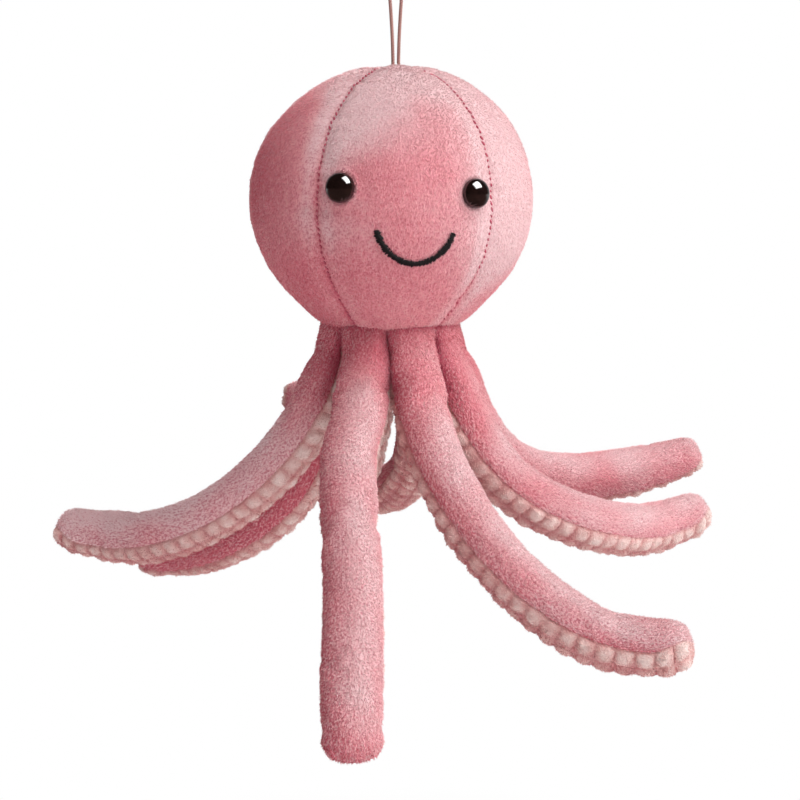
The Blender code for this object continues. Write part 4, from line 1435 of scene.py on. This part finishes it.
class Arm:
    """One arm's course from the neck to its tip, and its cross-sections."""

    def __init__(self, name, turn, roll, leans, swings):
        self.name = name
        self.turn = math.radians(turn)
        self.roll = math.radians(roll)
        self.leans = [math.radians(lean) for lean in leans]
        self.swings = [math.radians(swing) for swing in swings]
        self.out = Vector((math.sin(self.turn), -math.cos(self.turn), 0))
        neck = Vector((HEAD_CENTRE.x, HEAD_CENTRE.y, NECK_Z - 2 * GAP - FABRIC_THICKNESS))
        self.hinge = neck + self.out * NECK_RADIUS
        drop = ARM_ROOT_HALF_THICKNESS * math.tan(ARM_ROOT_SLOPE)
        self.course = [neck + self.out * ARM_ROOT_RING - UP * drop]
        steps = round(ARM_LENGTH / ARM_CURVE_STEP)
        step = ARM_LENGTH / steps
        for i in range(steps):
            self.course.append(self.course[-1] + self.heading((i + 0.5) * step) * step)
        self.joint_at = ARM_LENGTH * ARM_JOINT_SHARE

    def angles(self, along):
        share = along / ARM_LENGTH
        return smooth_course(self.leans, share), self.turn + smooth_course(self.swings, share)

    def heading(self, along):
        lean, turn = self.angles(along)
        out = Vector((math.sin(turn), -math.cos(turn), 0))
        return out * math.sin(lean) - UP * math.cos(lean)

    def centre(self, along):
        return smooth_course(self.course, along / ARM_LENGTH)

    def frame(self, along):
        """The directions towards the plush side and to the arm's side, with its roll."""
        lean, turn = self.angles(along)
        out = Vector((math.sin(turn), -math.cos(turn), 0))
        back = out * math.cos(lean) + UP * math.sin(lean)
        side = Vector((math.cos(turn), math.sin(turn), 0))
        roll = self.roll * ease(along / (2 * ARM_ROOT_BLEND))
        top = back * math.cos(roll) + side * math.sin(roll)
        return top, side * math.cos(roll) - back * math.sin(roll)

    def half_sizes(self, along):
        """Half the thickness and half the width, and how closed the tip is, from 1 down to 0."""
        full = ARM_RADIUS + (ARM_TIP_RADIUS - ARM_RADIUS) * ease(along / ARM_LENGTH)
        blend = ease(along / ARM_ROOT_BLEND)
        thick = ARM_ROOT_HALF_THICKNESS + (full - ARM_ROOT_HALF_THICKNESS) * blend
        wide = ARM_ROOT_HALF_WIDTH + (full - ARM_ROOT_HALF_WIDTH) * blend
        left = min(1.0, (ARM_LENGTH - along) / ARM_TIP_ROUND)
        return thick, wide, math.sqrt(max(0.0, 1 - (1 - left) ** 2))

    def ring(self, along, around, stand):
        """Points round the arm that stand off its plain section, and the way the pile points."""
        back, side = (np.array(v) for v in self.frame(along))
        thick, wide, close = self.half_sizes(along)
        heading = np.array(self.heading(along))
        round_part = np.outer(np.cos(around) / thick, back) + np.outer(np.sin(around) / wide, side)
        tip = math.sqrt(max(0.0, 1 - close * close))
        rise = unit(unit(round_part) * close + heading * tip)
        plain = np.outer(np.cos(around) * thick * close, back)
        plain += np.outer(np.sin(around) * wide * close, side)
        points = np.array(self.centre(along)) + plain + rise * np.asarray(stand)[:, None]
        return self.near_root(along, points), rise

    def near_root(self, along, points):
        """Slides the first rings onto the sloped plane under the neck."""
        share = 1 - ease(along / (10 * MM))
        if share <= 0:
            return points
        heading = self.heading(0.0)
        normal = (UP - self.out * math.tan(ARM_ROOT_SLOPE)).normalized()
        moved = []
        ring_at = np.array(self.centre(along)) - np.array(self.centre(0.0))
        for point in points:
            start = Vector(point - ring_at)
            travel = (self.hinge - start).dot(normal) / heading.dot(normal)
            moved.append(Vector(point) + heading * (travel * share))
        return np.array([tuple(p) for p in moved])


arms = [Arm(name, *pose) for name, pose in ARM_POSES.items()]
print("arms:", len(arms), "of", round(ARM_LENGTH / MM), "mm")

# %% [markdown]
# The arms' cloth is simulated in the same way, all eight at once. Each grid starts in its bent
# pose, but its rest shape is the straight tube that was cut and filled, so the inside of a bend
# has cloth to spare and creases softly while the outside is drawn smooth.

# %% Simulate the arms' cloth
ARM_TABLE_STEP = 3.4 * MM
ARM_TABLE_COLUMNS = 26
ARM_SWELL_SHARE = 0.32
ARM_TRIAL_LENGTH = ARM_LENGTH - 1.5 * MM


def arm_trial(arm):
    """One arm's coarse skin, with the shape that it was cut to."""
    rows = round(ARM_TRIAL_LENGTH / ARM_TABLE_STEP)
    around = np.linspace(0, 2 * math.pi, ARM_TABLE_COLUMNS, endpoint=False)
    points, ways, cut = [], [], []
    for row in range(rows + 1):
        along = ARM_TRIAL_LENGTH * row / rows
        ring, out = arm.ring(along, around, np.zeros(len(around)))
        thick, wide, close = arm.half_sizes(along)
        points.append(ring)
        ways.append(out)
        cut.append(np.stack([np.sin(around) * wide * close, np.cos(around) * thick * close,
                             np.full_like(around, -along)], axis=1))
    held = np.full((rows + 1, len(around)), 0.12)
    off_seam = np.abs(np.abs(wrapped(around)) - math.pi / 2)
    held[:, off_seam < 0.13] = 0.3
    held[[0, 1]] = 1.0
    held[-3:] = 0.5
    points, ways, cut = np.array(points), np.array(ways), np.array(cut)
    return coarse_cloth(arm.name + "_trial", points, held, cut), points, ways


def simulate_arms():
    trials = [arm_trial(arm) for arm in arms]
    results = step_cloths([(skin, points.shape) for skin, points, _ in trials])
    for arm, (_, points, ways), settled in zip(arms, trials, results):
        moved = ((settled - points) * ways).sum(axis=2)
        arm.swell = np.clip(ARM_SWELL_SHARE * (moved - np.median(moved)), -CLOTH_CAP, CLOTH_CAP)
        print(arm.name, "cloth out by", (np.percentile(moved, (1, 50, 99)) / MM).round(2), "mm")


def arm_swell(arm, along, around):
    """How far the simulation swelled the arm at each angle of a ring."""
    row = (len(arm.swell) - 1) * along / ARM_TRIAL_LENGTH
    first = min(int(row), len(arm.swell) - 1)
    shares = curve_shares(min(row - first, 1.0))
    near = [min(max(first - 1 + k, 0), len(arm.swell) - 1) for k in range(4)]
    line = sum(share * arm.swell[k] for share, k in zip(shares, near))
    column = (np.asarray(around) / (2 * math.pi)) % 1.0 * ARM_TABLE_COLUMNS
    left = np.floor(column).astype(int)
    over = curve_shares(column - left)
    value = sum(over[m] * line[(left - 1 + m) % ARM_TABLE_COLUMNS] for m in range(4))
    return value * ease((ARM_LENGTH - along) / (8 * MM)) * ease(along / (6 * MM))


simulate_arms()

# %% [markdown]
# ## The arms' plush skins
#
# The skin is a tube. Over the strip it dips inwards to make room, and its two edges roll over so
# that the pile hangs a little past the seam. The swelling of the stuffing, the gathers at the root
# and a few soft cross folds are added as small offsets. Each arm's skin is made in two parts that
# share one ring: a short one at the root and one for the rest of the arm.

# %% Angles and offsets of the skin
SPLIT_AT = 27.0 * MM
ARM_CELL = 0.9 * MM
SKIN_EDGE = math.pi - STRIP_HALF_ANGLE
FOLDS = {
    "arm_left": ((38, 0.5), (92, 0.35)),
    "arm_front_left": ((30, 0.45), (97, 0.5), (103, 0.35)),
    "arm_front_right": ((34, 0.5), (88, 0.45)),
    "arm_right": ((46, 0.5), (84, 0.4)),
    "arm_back_right": ((60, 0.5), (72, 0.4)),
    "arm_rear_right": ((50, 0.5), (104, 0.4)),
    "arm_rear_left": ((74, 0.6), (86, 0.6), (98, 0.5)),
    "arm_back_left": ((58, 0.5), (96, 0.4)),
}


STRIP_ENDS = {"arm_front_left": ARM_LENGTH - 5.5 * MM}
# Painted light and shade along whole arms: paler on the far left arm, deeper on the back left one,
# whose side lies in shade.
ARM_BRUSH_AND_LIGHT = {"arm_left": 0.32, "arm_back_left": -0.8, "arm_front_left": 0.0,
             "arm_right": 0.02, "arm_front_right": 0.05}
TAPERS = {"arm_left": 2.0, "arm_front_left": 0.4, "arm_front_right": 1.0, "arm_right": 1.8,
          "arm_back_right": 2.6, "arm_rear_right": 1.6, "arm_rear_left": 2.4, "arm_back_left": 1.6}


def strip_end(arm):
    """Where the strip stops, as far along the arm as the plush or just short of its tip."""
    return STRIP_ENDS.get(arm.name, ARM_LENGTH - 0.9 * MM)


def tip_taper(arm, along):
    """How much slimmer the arm is near its tip, where the stuffing is looser."""
    slim = TAPERS[arm.name] * MM * ease((along - ARM_LENGTH + 42 * MM) / (36 * MM))
    return slim + 0.6 * MM * bell(ARM_LENGTH - along, 2.5 * MM)


ROOT_SETS = {"arm_front_left": 2.8, "arm_left": 0.3}


def root_set(arm, along, around):
    """How far the stuffing has settled to one side below the root."""
    here = ease((along - 2 * MM) / (16 * MM)) * ease((66 * MM - along) / (30 * MM))
    return ROOT_SETS.get(arm.name, 0.0) * MM * here * np.sin(around)


SEAM_CLIMB = math.radians(32)
STRIP_DROPS = {"arm_back_left": math.radians(13)}


def seam_shifted(arm, around, along):
    """The angles with the strip's edges moved.

    Near the tip they are drawn up, where the strip wraps round it. On one arm the plush has slid
    down over them.
    """
    if ARM_LENGTH - strip_end(arm) > 2 * MM:
        return around
    climb = SEAM_CLIMB * ease((along - ARM_LENGTH + 19 * MM) / (19 * MM))
    climb -= STRIP_DROPS.get(arm.name, 0.0) * ease(along / (50 * MM))
    turned = wrapped(np.asarray(around))
    size = np.abs(turned)
    half_strip = math.pi - SKIN_EDGE
    plush_side = size * (SKIN_EDGE - climb) / SKIN_EDGE
    strip_side = math.pi - (math.pi - size) * (half_strip + climb) / half_strip
    return np.sign(turned + 1e-12) * np.where(size < SKIN_EDGE, plush_side, strip_side)


def skin_angles():
    """Angles once round the arm: fine on the plush, finer at its edges, coarse under the strip."""
    reach = SKIN_EDGE - math.radians(7)
    face = np.linspace(-reach, reach, round(2 * reach * ARM_RADIUS / ARM_CELL))
    edge = np.radians(np.array([5.0, 3.2, 1.5, 0.0, -1.2, -2.2, -3.2, -4.4]))
    under = SKIN_EDGE + math.radians(9)
    hidden = np.linspace(under, 2 * math.pi - under, 9)
    right = SKIN_EDGE - edge
    left = 2 * math.pi - SKIN_EDGE + edge[::-1]
    return np.concatenate([face, right, hidden, left])


def skin_stand(arm, along, around):
    """How far the skin stands off the plain tube at each angle of a ring."""
    off_edge = (SKIN_EDGE - np.abs(wrapped(around))) * ARM_RADIUS
    roll_over = 1 / (1 + np.exp(np.clip((off_edge + 0.35 * MM) / (0.2 * MM), -40, 40)))
    stand = 0.1 * MM * bells(off_edge - 1.4 * MM, 1.6 * MM) - 2.0 * MM * roll_over
    stand += 0.75 * MM * np.sin(around) ** 2 * ease((44 * MM - along) / (14 * MM))
    stand -= 0.25 * MM * bell(along - 7 * MM, 9 * MM) * np.abs(np.sin(around)) ** 3
    lump = [noise.noise(Vector((along / (17 * MM), math.cos(a), math.sin(a) + 7 * arm.turn)))
            for a in around]
    stand += 0.45 * MM * np.array(lump)
    gather = np.cos(9 * around + arm.turn) * math.exp(-along / (7 * MM))
    stand += 0.35 * MM * gather
    inner = 0.55 - 0.45 * np.cos(around)
    for at, deep in FOLDS[arm.name]:
        wave = (along - at * MM) + 1.2 * MM * np.sin(2 * around + at)
        stand -= 1.7 * deep * MM * bells(wave, 1.5 * MM) * inner
        stand += 0.3 * deep * MM * bells(np.abs(wave) - 3.2 * MM, 2.0 * MM) * inner
    stand += arm_swell(arm, along, around) - 1.5 * MM * bell(ARM_LENGTH - along, 3.5 * MM)
    return stand + root_set(arm, along, around) - tip_taper(arm, along)


def flat_cloth(stations, around, index):
    """Each point's place on the flat cloth: along, round, and which arm's cloth it is."""
    along, arc = np.meshgrid(stations, around * ARM_RADIUS, indexing="ij")
    return np.stack([along, arc, np.full_like(arc, 0.1 * index)], axis=2)


def skin_part(arm, index, name, start, end):
    """The plush skin of one stretch of an arm."""
    around = skin_angles()
    count = round((end - start) / ARM_CELL)
    stations = [start + (end - start) * i / count for i in range(count + 1)]
    if end == ARM_LENGTH:
        low = ARM_LENGTH - ARM_TIP_ROUND
        stations = [s for s in stations if s < low]
        stations += [low + ARM_TIP_ROUND * math.sin(math.pi / 2 * i / 20) for i in range(20)]
        stations.append(ARM_LENGTH - 0.02 * MM)
    covered = np.abs(wrapped(around)) > SKIN_EDGE + math.radians(1.5)
    points, rise = [], []
    more = {"lay": [], "bare": [], "brush": [], "crease": []}
    for along in stations:
        ring, out = arm.ring(along, seam_shifted(arm, around, along),
                             skin_stand(arm, along, around))
        points.append(ring)
        rise.append(out)
        more["lay"].append(np.tile(np.array(arm.heading(along)), (len(around), 1)))
        more["bare"].append(np.where(covered | (along < 0.4 * MM), 2.0, 0.0))
        spots = [noise.noise(Vector((along / (24 * MM), 1.3 * math.cos(a) + 5 * arm.turn, 9.0)))
                 for a in around]
        # Random stroked patches, painted shade near the root under the head, and each arm's painted
        # light or shade.
        more["brush"].append(0.2 * np.array(spots) - 0.03 - 0.36 * bell(along, 38 * MM)
                             + ARM_BRUSH_AND_LIGHT.get(arm.name, 0.0) * ease(along / (60 * MM)))
        # Painted shade between neighbouring arms near the root and under the neck's seam.
        shade_between_arms = np.abs(np.sin(around)) ** 14 * ease((46 * MM - along) / (26 * MM))
        more["crease"].append(0.7 * np.maximum(shade_between_arms, bell(along, 1.3 * MM)))
    more = {label: np.array(values) for label, values in more.items()}
    more["coarse"] = np.ones((len(stations), len(around)))
    return capped_tube(name, np.array(points), flat_cloth(stations, around, index),
                       np.array(rise), more)


# %% [markdown]
# ## The bubble strips
#
# A strip is a band of the puffed fabric along the arm's underside. Its puffs sit in cross rows of
# four, so the underside looks ribbed from the side. The puff tree raises them by a rule, from the
# place on the cloth: a smooth bump per cell, flat-bottomed grooves between, and nothing at the
# strip's edges, where the seam holds it down.

# %% The puff tree
PUFF_PITCH = 7.2 * MM
PUFF_COLUMNS = 4
PUFF_HEIGHT = 1.6 * MM


def humps(tree, value):
    """Round humps, one for each whole step of the value."""
    wave = calculate(tree, "SINE", calculate(tree, "MULTIPLY", value, math.pi))
    return calculate(tree, "ABSOLUTE", wave)


def puff_tree():
    tree, given = new_tree("bubble_puffs", {"Pitch": PUFF_PITCH, "Columns": float(PUFF_COLUMNS),
                                            "Height": PUFF_HEIGHT, "Seed": 2.0})
    place = stored_vector(tree, "cloth")
    share = parts_of(tree, stored_vector(tree, "strip"))
    row = calculate(tree, "DIVIDE", parts_of(tree, place)[0], given["Pitch"])
    column = calculate(tree, "MULTIPLY", share[0], given["Columns"])
    both = calculate(tree, "MULTIPLY", humps(tree, row), humps(tree, column))
    bump = calculate(tree, "POWER", both, 0.62)
    spot = vector_of(tree, calculate(tree, "FLOOR", row), calculate(tree, "FLOOR", column),
                     given["Seed"])
    dice = node(tree, "ShaderNodeTexWhiteNoise", {"Vector": spot}).outputs[0]
    vary = calculate(tree, "MULTIPLY_ADD", dice, 0.5, 0.7)
    rumple = calculate(tree, "SUBTRACT", noise_of(tree, place, 2.0 * MM, 3.0), 0.5)
    ruffled = calculate(tree, "MULTIPLY_ADD", rumple, 0.85, calculate(tree, "MULTIPLY", bump, vary))
    masked = calculate(tree, "MULTIPLY", ruffled, share[2])
    lift = calculate(tree, "MULTIPLY", masked, given["Height"])
    moved = pushed(tree, given["Geometry"], lift)
    end_tree(tree, keep_number(tree, moved, "puff", masked), given)
    return tree


bubble_puffs = puff_tree()
print("puff tree:", len(bubble_puffs.nodes), "nodes")

# %% Lay the strips
STRIP_CELL = 0.66 * MM
STRIP_EDGE = math.radians(-0.6)
STRIP_INNER = 7


def strip_part(arm, index, name, start, end):
    """A thin closed band: outer side fine, inner side coarse."""
    low = SKIN_EDGE + STRIP_EDGE
    outer = np.linspace(low, 2 * math.pi - low,
                        round(2 * (math.pi - low) * ARM_RADIUS / STRIP_CELL))
    inner = np.linspace(2 * math.pi - low, low, STRIP_INNER)
    share = (outer - low) / (outer[-1] - outer[0])
    side_mask = np.clip(np.minimum(share, 1 - share) / 0.035, 0, 1)
    count = round((end - start) / STRIP_CELL)
    stations = [start + (end - start) * i / count for i in range(count + 1)]
    points, rise = [], []
    strip = np.zeros((count + 1, len(outer) + STRIP_INNER, 3))
    strip[:, :len(outer), 0] = share
    for i, along in enumerate(stations):
        tip_mask = ease((end - along + 0.5 * MM) / (4.5 * MM)) if end > SPLIT_AT else 1.0
        strip[i, :len(outer), 2] = side_mask * tip_mask
        tuck = -0.3 * MM - 0.15 * MM * (1 - side_mask) - 0.2 * MM * (1 - tip_mask)
        slim = tip_taper(arm, along)
        moved = root_set(arm, along, outer) + arm_swell(arm, along, outer)
        top, out = arm.ring(along, seam_shifted(arm, outer, along), tuck - slim + moved)
        low_side = np.full(STRIP_INNER, -1.8 * MM) - slim + root_set(arm, along, inner)
        under, out_under = arm.ring(along, seam_shifted(arm, inner, along), low_side)
        points.append(np.vstack([top, under]))
        rise.append(np.vstack([out, out_under]))
    cloth = flat_cloth(stations, np.concatenate([outer, inner]), index)
    return capped_tube(name, np.array(points), cloth, np.array(rise), {"strip": strip})


# %% Make the eight arms
BEND_REACH = 17.0 * MM


def root_blend(piece, arm):
    tuple(arm.centre(0.0))
    tuple(arm.centre(SPLIT_AT - 2 * MM))
    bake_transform(piece)


def bend_blend(piece, arm):
    tuple(arm.centre(arm.joint_at - BEND_REACH))
    tuple(arm.centre(arm.joint_at + BEND_REACH))
    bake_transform(piece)


faces_made = 0
for index, arm in enumerate(arms):
    for part, start, end, strip_to, bend, halves in (
        ("root", 0.0, SPLIT_AT, SPLIT_AT, root_blend, ("upper",)),
        ("length", SPLIT_AT, ARM_LENGTH, strip_end(arm), bend_blend, ("upper", "lower")),
    ):
        skin = skin_part(arm, index, f"{arm.name}_{part}_plush", start, end)
        grow(skin, short_nap, {**ARM_NAP_SIZES, "Finish": plush})
        grow(skin, tufts, {**ARM_TUFTS, "Finish": plush})
        band = strip_part(arm, index, f"{arm.name}_{part}_bubbles", start, strip_to)
        grow(band, bubble_puffs, {"Pitch": PUFF_PITCH, "Columns": float(PUFF_COLUMNS),
                                  "Height": PUFF_HEIGHT, "Seed": float(index), "Finish": bubble})
        grow(band, tufts, {**STRIP_TUFTS, "Finish": bubble})
        for piece, slot, ending in ((skin, "pink_plush", ""), (band, "bubble_fabric", "_strip")):
            bend(piece, arm)
            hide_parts(*[f"{arm.name}_{half}{ending}" for half in halves])
        faces_made += len(skin.data.polygons) + len(band.data.polygons)
print("arms:", faces_made, "faces")

# %% [markdown]
# ## Floor, world and lights
#
# The picture has a plain white background. The floor is a pale sheet well below the toy, which
# keeps its shadow near the toy and turns to plain white further out, and the world is white for
# the camera only: in reflections the room in front of the toy is dim and warm. The light on the
# toy is one large soft lamp at the upper right, a weaker one at the right, weak ones from below
# and from the left, and an even glow from all round. The last card only shows as the bright spot
# that it leaves in a polished eye.

# %% Stage and lights
FLOOR_Z = -0.62
FLOOR_HALF_SIZE = 14.0
FLOOR_MIRRORED = (0.16, 0.08, 0.07)
ROOM_MIRRORED = (0.014, 0.01, 0.009)


def mix_shaders(tree, share, first, second):
    return node(tree, "ShaderNodeMixShader", {0: share, 1: first, 2: second}).outputs[0]


def white_for_the_eye(tree, plain, white):
    """Mixes a plain shader with pure white for camera, glossy and transmission rays."""
    rays = node(tree, "ShaderNodeLightPath").outputs
    seen = calculate(tree, "MAXIMUM", rays["Is Camera Ray"], rays["Is Glossy Ray"])
    seen = calculate(tree, "MAXIMUM", seen, rays["Is Transmission Ray"])
    return mix_shaders(tree, seen, plain, white)


def make_floor():
    mesh = bpy.data.meshes.new("floor")
    corners = [(x * FLOOR_HALF_SIZE, y * FLOOR_HALF_SIZE, FLOOR_Z)
               for x, y in ((-1, -1), (1, -1), (1, 1), (-1, 1))]
    mesh.from_pydata(corners, [], [(0, 1, 2, 3)])
    floor = add_object("floor", mesh)
    finish, tree, shader = new_finish("pale_floor", 0.9)
    shader.inputs["Base Color"].default_value = (0.93, 0.93, 0.93, 1)
    white = node(tree, "ShaderNodeEmission", {"Color": (1, 1, 1, 1), "Strength": 1.0}).outputs[0]
    room = node(tree, "ShaderNodeEmission", {"Color": (*FLOOR_MIRRORED, 1)}).outputs[0]
    place = own_place(tree)
    away = vectors(tree, "LENGTH", vectors(tree, "MULTIPLY", place, (1, 1, 0)))
    fade = node(tree, "ShaderNodeMapRange", {0: away, 1: 0.22, 2: 0.62},
                interpolation_type="SMOOTHSTEP").outputs[0]
    mirrored = mix_shaders(tree, mapped(tree, parts_of(tree, place)[1], 0.2, 1.6), room, white)
    glossy = node(tree, "ShaderNodeLightPath").outputs["Is Glossy Ray"]
    seen_white = white_for_the_eye(tree, shader.outputs[0],
                                   mix_shaders(tree, glossy, white, mirrored))
    under = mix_shaders(tree, glossy, shader.outputs[0], mirrored)
    tree.links.new(mix_shaders(tree, fade, under, seen_white),
                   tree.nodes["Material Output"].inputs["Surface"])
    floor.data.materials.append(finish)
    floor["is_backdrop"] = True


def make_world():
    world = bpy.data.worlds.new("studio")
    world.use_nodes = True
    tree = world.node_tree
    plain = tree.nodes["Background"]
    plain.inputs["Color"].default_value = (1.0, 0.985, 0.98, 1)
    plain.inputs["Strength"].default_value = 0.27
    white = node(tree, "ShaderNodeBackground", {"Color": (1, 1, 1, 1), "Strength": 1.0}).outputs[0]
    room = node(tree, "ShaderNodeBackground", {"Color": (*ROOM_MIRRORED, 1)}).outputs[0]
    way = parts_of(tree, node(tree, "ShaderNodeTexCoord").outputs["Generated"])[1]
    seen = node(tree, "ShaderNodeLightPath").outputs["Is Camera Ray"]
    backdrop = calculate(tree, "MAXIMUM", mapped(tree, way, 0.4, 0.95), seen)
    mixed_room = mix_shaders(tree, backdrop, room, white)
    tree.links.new(white_for_the_eye(tree, plain.outputs[0], mixed_room),
                   tree.nodes["World Output"].inputs["Surface"])
    bpy.context.scene.world = world


def area_light(name, place, target, size, power, colour=(1, 1, 1)):
    """A rectangular lamp that looks at its target and that the camera doesn't see."""
    data = bpy.data.lights.new(name, "AREA")
    data.shape = "RECTANGLE"
    data.size, data.size_y = size
    data.energy = power
    data.color = colour
    lamp = add_object(name, data)
    lamp.location = place
    lamp.visible_camera = False
    aim = Vector(target) - Vector(place)
    lamp.rotation_euler = aim.to_track_quat("-Z", "Y").to_euler()
    return lamp


make_floor()
make_world()
area_light("key_softbox", (0.64, -0.46, 0.87), (0, 0, -0.15), (0.9, 0.95), 13.6,
           (1.0, 0.985, 0.97))
for name, place, size, power in (("side_softbox", (1.15, -0.4, 0.05), (0.5, 0.8), 4.9),
                                 ("floor_bounce", (0.2, -0.45, -0.6), (0.9, 0.6), 2.0),
                                 ("left_fill", (-1.0, -0.75, -0.35), (0.8, 0.8), 2.1)):
    lamp = area_light(name, place, (0, 0, -0.17), size, power)
    lamp.visible_glossy = False
glint = area_light("glint_card", (0.42, -0.34, 0.66), (-0.005, -0.055, -0.105), (0.75, 0.8),
                   28.0)
glint.visible_diffuse = False
bpy.context.scene.view_settings.view_transform = "Standard"
print("floor, world and 5 lamps")

# %% [markdown]
# ## Measure and finish
#
# The dressed toy has to stay inside the solid model's box, apart from a little that pile and puffs
# may stand proud. Both boxes are printed.

# %% Print the two boxes
dressed_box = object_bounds()
for label, corners in (("solid", cad_box), ("dressed", dressed_box)):
    print(label, "box in mm:", [[round(x / MM, 1) for x in corner] for corner in corners])
